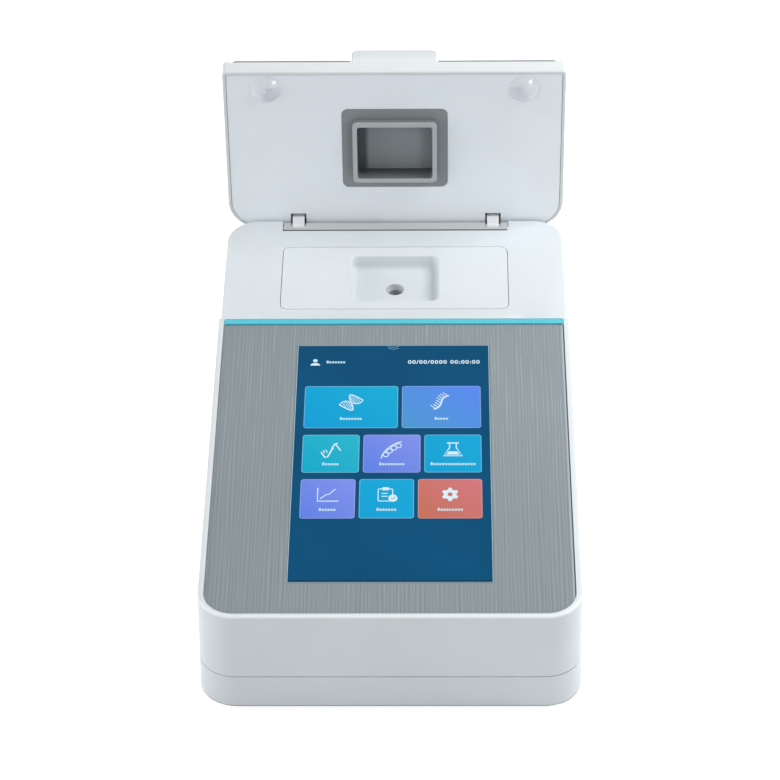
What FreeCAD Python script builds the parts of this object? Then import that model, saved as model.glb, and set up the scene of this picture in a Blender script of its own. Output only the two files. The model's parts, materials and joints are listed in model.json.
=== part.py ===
"""Benchtop fluorometer: a white moulded casing with a sloped brushed front panel and a
touch screen, a recessed sample deck, and a hinged lid that closes light-tight over it.

Millimetres. +X is the user's right, +Y runs from the front to the back and +Z is up.
The origin lies on the bench under the middle of the instrument's overall box with its
lid standing open, which is how the solids are exported.
"""

import FreeCAD, Part
import math
import os

# ---------------------------------------------------------------- casing
CASE_WIDTH = 159.0          # across the front rim
FRONT_HEIGHT = 49.7         # front face, from the casing's lower edge to the rim
CORNER_RADIUS = 15.0        # all four corners in plan
DRAFT_DEG = 0.9             # mould draft, wider towards the bench
CASE_WALL = 2.5
FLOOR_WALL = 2.5
PARTING_HEIGHT = 17.1       # height of the tray's side walls
PARTING_GROOVE = 0.6        # shadow line round the parting plane
RIM_ROUND = 1.3             # rounding of the upper outer edges
DECK_ROUND = 1.8
STEP_BEVEL = 0.5            # edge above the step down to the deck
BASE_ROUND = 0.6            # rounding of the lower outer edge

# ---------------------------------------------------------------- front panel
PANEL_SLOPE_DEG = 2.0
RIM_WIDTH = 2.7             # white rim beside the panel
RIM_FRONT = 2.3             # white rim in front of the panel
PANEL_SHEET = 2.0
PANEL_SINK = 0.8            # the panel lies this far below the rim
PANEL_GAP = 0.15            # clearance round the laid-in pieces
PANEL_BACKING = 2.5         # moulded wall under the panel
PANEL_RADIUS = 0.5          # its rear corners
STRIP_WIDTH = 3.5           # accent strip behind the panel
STRIP_SINK = 0.1
STRIP_LAND = 0.7            # white edge behind the strip
STRIP_FRONT_RADIUS = 0.2
STRIP_REAR_RADIUS = 1.2

# ---------------------------------------------------------------- display
SCREEN_WIDTH = 85.9
SCREEN_LENGTH = 154.1
SCREEN_FRONT = 18.85        # panel in front of the glass
SCREEN_REAR = 14.55         # panel behind the glass
GLASS_RADIUS = 0.6
LCD_SIDE = 7.05             # display module beyond the glass, to each side
LCD_END = 5.4               # display module beyond the glass, at each end
LCD_THICK = 5.7
LCD_RADIUS = 0.8
BRACKET_SHEET = 1.2
BRACKET_LAP = 8.0           # bracket ledge under the display
BRACKET_EAR = 10.0          # bracket reach beyond the display
BRACKET_RADIUS = 4.0
DISPLAY_SCREW_INSET = 22.0  # from the display's ends to its screws

# ---------------------------------------------------------------- sample deck
DECK_DROP = 9.55            # below the rear end of the rim
DECK_LENGTH = 89.9
DECK_WALL = 4.0
PLATE_WIDTH = 105.0         # insert that carries the sample pocket
PLATE_MARGIN = 6.7          # insert in front of and behind the pocket
PLATE_RADIUS = 3.5
PLATE_SHEET = 2.0
PLATE_GAP = 0.3
PLATE_LEDGE = 3.0
POCKET_REACH = 43.8         # from the lid's axis to the pocket's centre
POCKET_WIDTH = 40.6
POCKET_LENGTH = 34.8
POCKET_DEPTH = 7.0
POCKET_RADIUS = 3.2
POCKET_DRAFT_DEG = 3.0
POCKET_WALL = 2.0
POCKET_FLOOR = 2.5
POCKET_BOWL = 2.2           # rounding where its walls meet its floor
POCKET_LIP = 0.5            # bevel of its upper edge

# ---------------------------------------------------------------- lid and its hinge
LID_OPEN_DEG = 89.0         # angle at which the lid stands in the exported pose
AXIS_BELOW_DECK = 3.0
LID_GAP = 0.5               # round the closed lid
LID_THICK = 9.6
LID_WALL = 1.6
LID_ROOF = 3.1              # with the sheet let into it
LID_FRONT_RADIUS = 2.0
LID_ROUND = 0.8
COVER_SHEET = 1.6
COVER_SINK = 0.2
COVER_GAP = 0.2             # fine line round the cover
TOP_SHEET = 1.3             # brushed sheet let flush into the roof
TOP_INSET = 3.2
TOP_SETBACK = 0.1           # from the free edge
TOP_RADIUS = 3.0
TAB_WIDTH = 39.8
TAB_HEIGHT = 9.2            # above the lid's top
TAB_THICK = 3.2
TAB_RADIUS = 3.0            # its upper corners
TAB_ROUND = 0.8             # its edges
BUMPER_SIDE = 19.8          # bumper's centre in from the lid's side
BUMPER_END = 9.7            # and from its free edge
BUMPER_RADIUS = 7.0
BUMPER_HEIGHT = 2.2
BUMPER_SOCKET = 1.0         # disc let into the cover
DIMPLE_GAP = 0.3
COVER_POST_RADIUS = 3.5
COVER_SCREW_RADIUS = 1.1
COVER_SCREW_GRIP = 4.0      # thread in the lid's front posts
REAR_POST_SIDE = 13.5       # rear posts in from the lid's side
REAR_POST_REACH = 15.0      # and from the lid's axis

# ---------------------------------------------------------------- light shield
COLLAR_CLEAR = 0.6          # round the collar in the pocket
FLANGE_SIDE = 4.9           # flange beyond the collar, to each side
FLANGE_END = 5.35           # flange beyond the collar, at each end
FLANGE_SHEET = 1.4
FLANGE_SINK = 0.3           # below the lid's inner face
FLANGE_RADIUS = 3.0
COLLAR_WALL = 2.1
COLLAR_PROUD = 4.0
COLLAR_DEPTH = 8.6          # hollow, from the collar's end
COLLAR_RADIUS = 2.4

# ---------------------------------------------------------------- hinge
BAR_WIDTH = 107.2           # notch in the deck's rear edge
BAR_FRONT = 6.35            # from the axis to the notch's front wall
BAR_DEPTH = 8.0             # notch depth below the deck
BAR_GAP = 0.4               # bar to the notch's ends
BAR_FRONT_GAP = 1.1         # bar to the notch's front wall
TROUGH_WALL = 2.5
KNUCKLE_INSET = 7.3         # knuckle's middle in from the notch's end
KNUCKLE_WIDTH = 5.6
KNUCKLE_RADIUS = 2.6
SLOT_CLEAR = 0.4            # between a turning knuckle and its slot
ARM_TOP = 4.1               # arm's reach in front of the axis where it enters the lid
ARM_SLOT_PLAY = 1.9         # cover cut back in front of the arm
LEAF_WIDTH = 14.0
LEAF_LENGTH = 20.0
LEAF_SHEET = 2.0
LEAF_RADIUS = 2.0
LEAF_MARGIN = 1.0           # leaf beyond its screws' heads
LEAF_SCREW_SPARE = 0.5      # roof left above each screw's tip
PIN_RADIUS = 1.25
PIN_FIT = 0.02
PIN_RUNNING = 0.05
PIN_INNER_GRIP = 4.0
WASHER_SHEET = 0.6
WASHER_PLAY = 0.15          # each side of a washer
WASHER_RADIUS = 2.3

# ---------------------------------------------------------------- optics
WELL_RADIUS = 3.2
WELL_MOUTH = 4.3            # radius of the hole in the pocket floor above the well
WELL_DEPTH = 20.0
HOLDER_RADIUS = 8.0
HOLDER_FLANGE = 12.0
HOLDER_FLANGE_SHEET = 3.0
HOLDER_FLOOR = 3.0
HOLDER_GAP = 0.15
BLOCK_SIDE = 44.0
BLOCK_HEIGHT = 22.0
BEAM_RADIUS = 2.6           # excitation channels, left and right
BEAM_DROP = 13.5            # below the pocket's underside
DETECT_RADIUS = 4.6         # emission channel, to the front
FILTER_SHEET = 2.0
FILTER_STOP = 6.0           # from the block's outer face to each filter
LED_BOARD_SIDE = 18.0
LED_BOARD_SHEET = 1.6
LED_RADIUS = 2.3
LED_LENGTH = 4.0
DETECT_BOARD_SIDE = 26.0
DETECTOR_RADIUS = 4.2
DETECTOR_LENGTH = 3.0
BLOCK_RADIUS = 3.0
BLOCK_SCREW_INSET = 3.3     # from the pocket's sides
BLOCK_SCREW_GRIP = 1.8      # thread in the pocket's floor

# ---------------------------------------------------------------- electronics
BOARD_SHEET = 1.6
STANDOFF_HEIGHT = 6.0
STANDOFF_RADIUS = 3.0
MAIN_BOARD_WIDTH = 104.0
MAIN_BOARD_LENGTH = 120.0
MAIN_BOARD_FRONT = 34.0     # from the front rim
IO_BOARD_WIDTH = 62.0
IO_BOARD_LENGTH = 15.5
IO_BOARD_X = 4.0
JACK_UNDER_TROUGH = 2.9     # power jack below the hinge trough
HOLE_INSET = 5.0            # board edge to fixing hole
MODULE_SIDE = 28.0          # processor module on the main board
MODULE_HEIGHT = 6.0
MEMORY_SIDE = 14.0
MEMORY_HEIGHT = 1.4
MEMORY_X = 31.0
COIL_SIDE = 12.0            # power converter's coil
COIL_HEIGHT = 5.0
COIL_X = -32.0
HEADER_WIDTH = 40.0         # cable header at the board's rear edge
HEADER_LENGTH = 6.0
HEADER_HEIGHT = 4.0
HEADER_INSET = 14.0
SENSOR_WIDTH = 14.0
SENSOR_LENGTH = 9.0
CHIP_WIDTH = 4.0
CHIP_LENGTH = 3.0
CHIP_HEIGHT = 1.2
MAGNET_RADIUS = 4.0
MAGNET_HEIGHT = 3.0

# ---------------------------------------------------------------- rear connectors
SWITCH_X = -44.0
SWITCH_WALL = 1.1           # switch body round the rocker's well
BEZEL_LAP = 1.0             # bezel over the edge of its opening
BEZEL_SHEET = 1.6
SWITCH_DEPTH = 13.0
ROCKER_WIDTH = 16.0         # across the round ends
ROCKER_HEIGHT = 10.0
ROCKER_GAP = 0.4
ROCKER_TILT_DEG = 9.0       # each side of the middle
ROCKER_AXLE_RADIUS = 1.1
ROCKER_DEPTH = 6.0
ROCKER_SINK = 0.6           # its middle lies this far below the bezel
AXLE_STUB = 1.0             # axle beyond each side of the rocker
AXLE_SPARE = 0.2
JACK_X = -14.0
JACK_WIDTH = 9.0
JACK_HEIGHT = 11.0
JACK_DEPTH = 13.0
JACK_NOSE_RADIUS = 4.0
JACK_BORE_RADIUS = 2.9
JACK_BORE_DEPTH = 9.5
JACK_PIN_RADIUS = 1.0
JACK_PIN_SETBACK = 1.0
USB_X = 14.0
USB_WIDTH = 13.2
USB_HEIGHT = 6.6
USB_DEPTH = 14.0
USB_SHELL = 0.5
USB_BACK = 2.0              # closed rear end of the shell
USB_TONGUE = 1.9
USB_TONGUE_DROP = 1.0       # below the shell's top
PORT_GAP = 0.3              # between a connector and its opening

# ---------------------------------------------------------------- feet and fasteners
FOOT_RADIUS = 6.0
FOOT_PROUD = 2.0
FOOT_SOCKET = 1.0
FOOT_SIDE = 23.5            # feet in from the sides of the casing
FOOT_INSET = 24.0           # and from its front and rear
CASE_SCREW_SIDE = 7.2       # casing screws in from the sides
CASE_SCREW_INSET = 42.0     # and from the front and the rear
CASE_BOSS_RADIUS = 4.2
SCREW_HEAD_RADIUS = 2.8
SCREW_HEAD_HEIGHT = 2.2
SCREW_RADIUS = 1.5
SCREW_FIT = 0.05
HEAD_CLEAR = 0.3
COUNTERBORE_DEPTH = 4.0
CASE_SCREW_GRIP = 11.0      # thread in the upper half's bosses
SMALL_SCREW_RADIUS = 1.2
SMALL_HEAD_RADIUS = 2.2
SMALL_HEAD_HEIGHT = 1.4
SMALL_SCREW_LENGTH = 5.0
SCREW_SIDES = 6             # hidden screws are drawn six-sided, to keep them light
VENT_COUNT = 9
VENT_PITCH = 7.0
VENT_WIDTH = 2.6
VENT_LENGTH = 42.0
VENT_Y = 172.0              # centre of the vents, from the front rim
QUARTER = 90                # degrees
OVERLAP = 1.0               # joined forms run this far into each other
HAIR = 0.01                 # smallest step that still counts as a step

# ---------------------------------------------------------------- worked-out places
SLOPE = math.radians(PANEL_SLOPE_DEG)
OPEN = math.radians(LID_OPEN_DEG)
TAN_DRAFT = math.tan(math.radians(DRAFT_DEG))
FAR = 400.0                 # longer than anything here, for cutting tools

# widths and lengths that follow from others
HALF = CASE_WIDTH / 2
PANEL_LENGTH = SCREEN_FRONT + SCREEN_LENGTH + SCREEN_REAR
RIM_LENGTH = RIM_FRONT + PANEL_LENGTH + STRIP_WIDTH + STRIP_LAND
STEP_RUN = RIM_LENGTH * math.cos(SLOPE)
CASE_LENGTH = STEP_RUN + DECK_LENGTH
AXIS_FROM_REAR = KNUCKLE_RADIUS
LID_REACH = DECK_LENGTH - LID_GAP - AXIS_FROM_REAR
LCD_WIDTH = SCREEN_WIDTH + 2 * LCD_SIDE
LCD_LENGTH = SCREEN_LENGTH + 2 * LCD_END
PLATE_LENGTH = POCKET_LENGTH + 2 * PLATE_MARGIN
COLLAR_WIDTH = POCKET_WIDTH - 2 * COLLAR_CLEAR
COLLAR_LENGTH = POCKET_LENGTH - 2 * COLLAR_CLEAR
FLANGE_WIDTH = COLLAR_WIDTH + 2 * FLANGE_SIDE
FLANGE_LENGTH = COLLAR_LENGTH + 2 * FLANGE_END
SLOT_WIDTH = KNUCKLE_WIDTH + 2 * (WASHER_SHEET + 2 * WASHER_PLAY)
KNUCKLE_X = BAR_WIDTH / 2 - KNUCKLE_INSET
BUMPER_X = HALF - BUMPER_SIDE
BUMPER_REACH = LID_REACH - BUMPER_END
REAR_POST_X = HALF - REAR_POST_SIDE
POCKET_FRONT_REACH = POCKET_REACH + POCKET_LENGTH / 2 + POCKET_WALL
SENSOR_REACH = (POCKET_FRONT_REACH + LID_REACH) / 2
SWITCH_WIDTH = ROCKER_WIDTH + 2 * (ROCKER_GAP + SWITCH_WALL)
SWITCH_HEIGHT = ROCKER_HEIGHT + 2 * (ROCKER_GAP + SWITCH_WALL)

# heights above the bench
PANEL_ROOF = PANEL_SINK + PANEL_SHEET + PANEL_BACKING
CASE_Z = FOOT_PROUD
FLOOR_Z = CASE_Z + FLOOR_WALL
PARTING_Z = CASE_Z + PARTING_HEIGHT
SCREW_SEAT_Z = CASE_Z + COUNTERBORE_DEPTH
RIM_Z = CASE_Z + FRONT_HEIGHT
STEP_Z = RIM_Z + RIM_LENGTH * math.sin(SLOPE)
DECK_Z = STEP_Z - DECK_DROP
AXIS_Z = DECK_Z - AXIS_BELOW_DECK
POCKET_UNDER_Z = DECK_Z - POCKET_DEPTH - POCKET_FLOOR
BLOCK_Z = POCKET_UNDER_Z - BLOCK_HEIGHT
BEAM_Z = POCKET_UNDER_Z - BEAM_DROP
IO_BOARD_TOP = DECK_Z - BAR_DEPTH - TROUGH_WALL - JACK_UNDER_TROUGH - JACK_HEIGHT
PORT_Z = IO_BOARD_TOP + JACK_HEIGHT / 2

# lid heights above the hinge axis, with the lid closed
LID_FACE = AXIS_BELOW_DECK + LID_GAP
LID_TOP = LID_FACE + LID_THICK
LID_CEILING = LID_TOP - LID_ROOF
COVER_FACE = LID_FACE + COVER_SINK
COVER_BACK = COVER_FACE + COVER_SHEET
TAB_TOP = LID_TOP + TAB_HEIGHT

# fore-and-aft places, with the overall box centred on the origin
FRONT_REACH = TAN_DRAFT * FRONT_HEIGHT
LID_OVERHANG = TAB_TOP * math.sin(OPEN) - (LID_REACH - TAB_THICK) * math.cos(OPEN)
REAR_REACH = CASE_LENGTH - AXIS_FROM_REAR + LID_OVERHANG
FRONT_Y = (FRONT_REACH - REAR_REACH) / 2
STEP_Y = FRONT_Y + STEP_RUN
REAR_Y = FRONT_Y + CASE_LENGTH
AXIS_Y = REAR_Y - AXIS_FROM_REAR
POCKET_Y = AXIS_Y - POCKET_REACH
IO_BOARD_Y = REAR_Y - CASE_WALL - PORT_GAP - IO_BOARD_LENGTH
SWITCH_FACE_Y = REAR_Y + TAN_DRAFT * (RIM_Z - PORT_Z + SWITCH_HEIGHT / 2 + BEZEL_LAP)
ROCKER_Y = SWITCH_FACE_Y + BEZEL_SHEET - ROCKER_DEPTH / 2 - ROCKER_SINK


# ================================================================ helpers
def vec(x, y, z):
    return FreeCAD.Vector(x, y, z)


X_AXIS, Y_AXIS, Z_AXIS = vec(1, 0, 0), vec(0, 1, 0), vec(0, 0, 1)


def box(x0, x1, y0, y1, z0, z1):
    """Block between two corners."""
    return Part.makeBox(x1 - x0, y1 - y0, z1 - z0, vec(x0, y0, z0))


def wide_box(half, y0, y1, z0, z1):
    """Block centred on x = 0."""
    return box(-half, half, y0, y1, z0, z1)


def rod(radius, length, base, direction=Z_AXIS):
    return Part.makeCylinder(radius, length, base, direction)


def ring(outer, inner, length, base, direction=Z_AXIS):
    """Tube or washer."""
    return rod(outer, length, base, direction).cut(rod(inner, length, base, direction))


def rounded_wire(half, y0, y1, z, front_radius, rear_radius, x=0.0):
    """Closed plan outline: a rectangle with its own front and rear corner radii."""
    front, rear = y0 + front_radius, y1 - rear_radius
    corners = (
        (x + half - rear_radius, rear, rear_radius),
        (x - half + rear_radius, rear, rear_radius),
        (x - half + front_radius, front, front_radius),
        (x + half - front_radius, front, front_radius),
    )
    arcs = []
    for number, (centre_x, centre_y, radius) in enumerate(corners):
        start = number * QUARTER
        centre = vec(centre_x, centre_y, z)
        arcs.append(Part.makeCircle(radius, centre, Z_AXIS, start, start + QUARTER))
    edges = []
    for arc, following in zip(arcs, arcs[1:] + arcs[:1]):
        edges.append(arc)
        start = arc.valueAt(arc.LastParameter)
        end = following.valueAt(following.FirstParameter)
        edges.append(Part.makeLine(start, end))
    return Part.Wire(edges)


def rounded_block(half, y0, y1, z0, z1, front_radius, rear_radius=None, x=0.0):
    """Prism on a rounded plan outline."""
    rear = front_radius if rear_radius is None else rear_radius
    outline = rounded_wire(half, y0, y1, z0, front_radius, rear, x)
    return Part.Face(outline).extrude(vec(0, 0, z1 - z0))


def side_prism(points, x0, x1):
    """Prism along X on an outline of (y, z) points."""
    corners = [vec(x0, y, z) for y, z in points]
    return Part.Face(Part.makePolygon(corners + corners[:1])).extrude(vec(x1 - x0, 0, 0))


def edges_where(shape, chosen):
    """Edges whose middle point passes the chosen test."""
    picked = []
    for edge in shape.Edges:
        middle = edge.valueAt((edge.FirstParameter + edge.LastParameter) / 2)
        if chosen(middle):
            picked.append(edge)
    return picked


def fuse_all(shapes):
    first, *others = shapes
    return first.multiFuse(others).removeSplitter() if others else first


def both_sides(shape):
    """The shape and its mirror image across the middle plane."""
    return [shape, shape.mirror(vec(0, 0, 0), X_AXIS)]


def tapered_block(half, y0, y1, radius, low, high):
    """Block with round upright corners whose sides stand out by other amounts at its two ends.

    low and high are (z, spread) pairs: the plan outline grows by spread at that height.
    """
    (z0, spread0), (z1, spread1) = low, high
    core_x = half - radius
    core_y0, core_y1 = y0 + radius, y1 - radius
    across = [vec(0, core_y0 - radius - spread0, z0), vec(0, core_y1 + radius + spread0, z0)]
    across += [vec(0, core_y1 + radius + spread1, z1), vec(0, core_y0 - radius - spread1, z1)]
    along = [vec(-half - spread0, 0, z0), vec(half + spread0, 0, z0)]
    along += [vec(half + spread1, 0, z1), vec(-half - spread1, 0, z1)]
    slab = Part.Face(Part.makePolygon(across + across[:1])).extrude(vec(2 * core_x, 0, 0))
    slab.translate(vec(-core_x, 0, 0))
    bar = Part.Face(Part.makePolygon(along + along[:1])).extrude(vec(0, core_y1 - core_y0, 0))
    bar.translate(vec(0, core_y0, 0))
    corners = [
        Part.makeCone(radius + spread0, radius + spread1, z1 - z0, vec(x, y, z0))
        for x in (-core_x, core_x)
        for y in (core_y0, core_y1)
    ]
    return fuse_all([slab, bar] + corners)


def drafted(inset, z0, z1):
    """Drafted casing form between two heights, with its sides moved in by inset."""
    low, high = ((z, TAN_DRAFT * (RIM_Z - z) - inset) for z in (z0, z1))
    return tapered_block(HALF, FRONT_Y, REAR_Y, CORNER_RADIUS, low, high)


def on_slope(shape):
    """Moves a piece drawn flat, with the front rim at y = 0 and z = 0, onto the slope."""
    placed = shape.copy()
    placed.rotate(vec(0, 0, 0), X_AXIS, PANEL_SLOPE_DEG)
    placed.translate(vec(0, FRONT_Y, RIM_Z))
    return placed


def open_lid(shape):
    """Moves a lid piece, drawn closed about an axis at the origin, to its open place."""
    placed = shape.copy()
    placed.rotate(vec(0, 0, 0), X_AXIS, -LID_OPEN_DEG)
    placed.translate(vec(0, AXIS_Y, AXIS_Z))
    return placed


def six_sided(radius, length, base, direction):
    """Prism whose corners lie on the radius."""
    corners = []
    for number in range(SCREW_SIDES):
        angle = 2 * math.pi * number / SCREW_SIDES
        corners.append(vec(radius * math.cos(angle), radius * math.sin(angle), 0))
    prism = Part.Face(Part.makePolygon(corners + corners[:1])).extrude(vec(0, 0, length))
    prism.Placement = FreeCAD.Placement(base, FreeCAD.Rotation(Z_AXIS, direction))
    return prism


def small_screw(base, direction, length=SMALL_SCREW_LENGTH):
    """Hidden screw whose head sits at base and whose shank runs on along direction."""
    head = six_sided(SMALL_HEAD_RADIUS, SMALL_HEAD_HEIGHT, base, direction)
    shank = six_sided(SMALL_SCREW_RADIUS, SMALL_HEAD_HEIGHT + length, base, direction)
    return head.fuse(shank).removeSplitter()


def small_hole(depth, base, direction=Z_AXIS):
    """Hole for a small screw."""
    return rod(SMALL_SCREW_RADIUS + SCREW_FIT, depth, base, direction)


def rim_plane(y):
    """Height of the sloped rim at a fore-and-aft place."""
    return RIM_Z + (y - FRONT_Y) * math.tan(SLOPE)


# ================================================================ casing
def top_profile(lower_panel, lower_deck, step_y):
    """(y, z) outline of all that lies above the casing's sloped and level tops."""
    front, rear = FRONT_Y - FAR / 4, REAR_Y + FAR / 4
    return [
        (front, rim_plane(front) - lower_panel),
        (step_y, rim_plane(step_y) - lower_panel),
        (step_y, DECK_Z - lower_deck),
        (rear, DECK_Z - lower_deck),
        (rear, FAR),
        (front, FAR),
    ]


def on_outline(point):
    """True on the casing's outer surface rather than on the step across it."""
    spread = TAN_DRAFT * (RIM_Z - point.z)
    beside = abs(point.x) > HALF + spread - CORNER_RADIUS / 2
    ahead = point.y < FRONT_Y - spread + CORNER_RADIUS / 2
    behind = point.y > REAR_Y + spread - CORNER_RADIUS / 2
    return beside or ahead or behind


def step_edge():
    """Prism that bevels the sharp edge above the step."""
    front, low, high = STEP_Y - STEP_BEVEL, STEP_Z - STEP_BEVEL, STEP_Z + OVERLAP
    corners = [
        (front, rim_plane(front)),
        (STEP_Y, low),
        (STEP_Y + OVERLAP, low),
        (STEP_Y + OVERLAP, high),
        (front, high),
    ]
    return side_prism(corners, -FAR, FAR)


def casing_form():
    """Solid outer form of the whole casing, with its edges rounded."""
    form = drafted(0.0, CASE_Z, DECK_Z + FRONT_HEIGHT / 2)
    form = form.cut(side_prism(top_profile(0.0, 0.0, STEP_Y), -FAR, FAR))

    def rim(p):
        return p.y < STEP_Y - OVERLAP and abs(p.z - rim_plane(p.y)) < HAIR and on_outline(p)

    def deck(p):
        return p.y > STEP_Y + OVERLAP and abs(p.z - DECK_Z) < HAIR and on_outline(p)

    def base(p):
        return abs(p.z - CASE_Z) < HAIR

    form = form.makeFillet(RIM_ROUND, edges_where(form, rim)).cut(step_edge())
    form = form.makeFillet(DECK_ROUND, edges_where(form, deck))
    return form.makeFillet(BASE_ROUND, edges_where(form, base))


def casing_room():
    """Hollow inside the casing."""
    room = drafted(CASE_WALL, FLOOR_Z, DECK_Z + FRONT_HEIGHT / 2)
    profile = top_profile(PANEL_ROOF, DECK_WALL, STEP_Y - CASE_WALL)
    return room.cut(side_prism(profile, -FAR, FAR))


def case_screw_places():
    return [
        (side * (HALF - CASE_SCREW_SIDE), y)
        for side in (-1, 1)
        for y in (FRONT_Y + CASE_SCREW_INSET, REAR_Y - CASE_SCREW_INSET)
    ]


def foot_places():
    return [
        (side * (HALF - FOOT_SIDE), y)
        for side in (-1, 1)
        for y in (FRONT_Y + FOOT_INSET, REAR_Y - FOOT_INSET)
    ]


def main_board_corners():
    x = MAIN_BOARD_WIDTH / 2 - HOLE_INSET
    front = FRONT_Y + MAIN_BOARD_FRONT
    return [
        (side * x, y)
        for side in (-1, 1)
        for y in (front + HOLE_INSET, front + MAIN_BOARD_LENGTH - HOLE_INSET)
    ]


def io_board_corners():
    x = IO_BOARD_WIDTH / 2 - HOLE_INSET
    y = IO_BOARD_Y + HOLE_INSET
    return [(IO_BOARD_X + side * x, y) for side in (-1, 1)]


def rear_openings():
    """Openings in the rear wall for the switch, the power jack and the data socket."""
    front = REAR_Y - 2 * CASE_WALL
    wide, high = SWITCH_WIDTH / 2 + SCREW_FIT, SWITCH_HEIGHT / 2 + SCREW_FIT
    side = USB_WIDTH / 2 + PORT_GAP
    usb_top = IO_BOARD_TOP + USB_HEIGHT + PORT_GAP
    return [
        box(SWITCH_X - wide, SWITCH_X + wide, front, FAR, PORT_Z - high, PORT_Z + high),
        rod(JACK_NOSE_RADIUS + PORT_GAP, FAR, vec(JACK_X, front, PORT_Z), Y_AXIS),
        box(USB_X - side, USB_X + side, front, FAR, IO_BOARD_TOP - PORT_GAP, usb_top),
    ]


def base_tray(form, room):
    """Lower casing half: floor, side walls, bosses, board posts, foot sockets and vents."""
    slab = wide_box(FAR / 2, -FAR, FAR, 0, PARTING_Z)
    shell = form.cut(room).common(slab)
    groove_bottom = PARTING_Z - PARTING_GROOVE
    groove = drafted(-OVERLAP, groove_bottom, PARTING_Z).cut(
        drafted(PARTING_GROOVE, groove_bottom, PARTING_Z)
    )
    shell = shell.cut(groove)

    pads = []
    for x, y in case_screw_places():
        pads.append(rod(CASE_BOSS_RADIUS, PARTING_Z - FLOOR_Z, vec(x, y, FLOOR_Z)))
    for x, y in main_board_corners():
        pads.append(rod(STANDOFF_RADIUS, STANDOFF_HEIGHT, vec(x, y, FLOOR_Z)))
    for x, y in io_board_corners():
        height = IO_BOARD_TOP - BOARD_SHEET - FLOOR_Z
        pads.append(rod(STANDOFF_RADIUS, height, vec(x, y, FLOOR_Z)))
    shell = fuse_all([shell] + pads)

    depth = SMALL_SCREW_LENGTH - BOARD_SHEET + HEAD_CLEAR
    holes = []
    for x, y in case_screw_places():
        holes.append(rod(SCREW_RADIUS + HEAD_CLEAR, FAR, vec(x, y, 0)))
        holes.append(rod(SCREW_HEAD_RADIUS + HEAD_CLEAR, SCREW_SEAT_Z, vec(x, y, 0)))
    for x, y in main_board_corners():
        holes.append(small_hole(depth, vec(x, y, FLOOR_Z + STANDOFF_HEIGHT), -Z_AXIS))
    for x, y in io_board_corners():
        holes.append(small_hole(depth, vec(x, y, IO_BOARD_TOP - BOARD_SHEET), -Z_AXIS))
    for x, y in foot_places():
        holes.append(rod(FOOT_RADIUS, CASE_Z + FOOT_SOCKET, vec(x, y, 0)))
    for number in range(VENT_COUNT):
        x = (number - (VENT_COUNT - 1) / 2) * VENT_PITCH
        y = FRONT_Y + VENT_Y
        holes.append(
            box(
                x - VENT_WIDTH / 2, x + VENT_WIDTH / 2, y - VENT_LENGTH / 2, y + VENT_LENGTH / 2,
                0, FLOOR_Z + OVERLAP,
            )
        )
    return shell.cut(Part.makeCompound(holes + rear_openings()))


def screen_front():
    """Front edge of the glass, from the rim along the slope."""
    return RIM_FRONT + SCREEN_FRONT


def lcd_front():
    return screen_front() + (SCREEN_LENGTH - LCD_LENGTH) / 2


def display_screw_places():
    """(x, run along the slope) of the display's four screws."""
    x = LCD_WIDTH / 2 + BRACKET_EAR / 2
    front = lcd_front()
    return [
        (side * x, run)
        for side in (-1, 1)
        for run in (front + DISPLAY_SCREW_INSET, front + LCD_LENGTH - DISPLAY_SCREW_INSET)
    ]


def panel_outline(gap, z0, z1):
    """Block on the front panel's outline, drawn flat, grown by gap."""
    return rounded_block(
        HALF - RIM_WIDTH + gap,
        RIM_FRONT - gap,
        RIM_FRONT + PANEL_LENGTH,
        z0,
        z1,
        CORNER_RADIUS - RIM_WIDTH + gap,
        PANEL_RADIUS,
    )


def strip_outline(gap, z0, z1):
    """Block on the accent strip's outline, drawn flat, grown by gap."""
    front = RIM_FRONT + PANEL_LENGTH + PANEL_GAP
    rear = front + STRIP_WIDTH - 2 * PANEL_GAP
    return rounded_block(
        HALF - RIM_WIDTH + gap,
        front - gap,
        rear + gap,
        z0,
        z1,
        STRIP_FRONT_RADIUS + gap,
        STRIP_REAR_RADIUS,
    )


def panel_cuts():
    """Recess for the panel and the strip, and the window that the display fills."""
    floor = -(PANEL_SINK + PANEL_SHEET)
    recess = panel_outline(PANEL_GAP, floor, FAR)
    groove = strip_outline(PANEL_GAP, floor, FAR)
    front = lcd_front()
    window = wide_box(
        LCD_WIDTH / 2 + PORT_GAP, front - PORT_GAP, front + LCD_LENGTH + PORT_GAP, -FAR / 4, 0
    )
    return [on_slope(shape) for shape in (recess, groove, window)]


def display_bosses():
    """Bosses under the panel backing that the display bracket is screwed to."""
    roof = -(PANEL_SINK + PANEL_SHEET + PANEL_BACKING)
    seat = -(PANEL_SINK + PANEL_SHEET + LCD_THICK)
    bosses = []
    for x, run in display_screw_places():
        boss = rod(STANDOFF_RADIUS, roof - seat + PANEL_BACKING / 2, vec(x, run, seat))
        bosses.append(on_slope(boss))
    return bosses


def display_screw_holes():
    seat = -(PANEL_SINK + PANEL_SHEET + LCD_THICK)
    depth = SMALL_SCREW_LENGTH - BRACKET_SHEET + HEAD_CLEAR
    return [
        on_slope(small_hole(depth, vec(x, run, seat)))
        for x, run in display_screw_places()
    ]


def bumper_ball(extra):
    """Ball whose cap stands BUMPER_HEIGHT proud on a circle of BUMPER_RADIUS."""
    radius = (BUMPER_RADIUS**2 + BUMPER_HEIGHT**2) / (2 * BUMPER_HEIGHT)
    return radius, Part.makeSphere(radius + extra)


def dimples():
    """Shallow hollows in the deck that receive the lid's bumpers."""
    radius, ball = bumper_ball(DIMPLE_GAP)
    y = AXIS_Y - BUMPER_REACH
    ball.translate(vec(BUMPER_X, y, DECK_Z + LID_GAP + radius - BUMPER_HEIGHT))
    return both_sides(ball.common(rod(radius, DECK_WALL, vec(BUMPER_X, y, DECK_Z), -Z_AXIS)))


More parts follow.
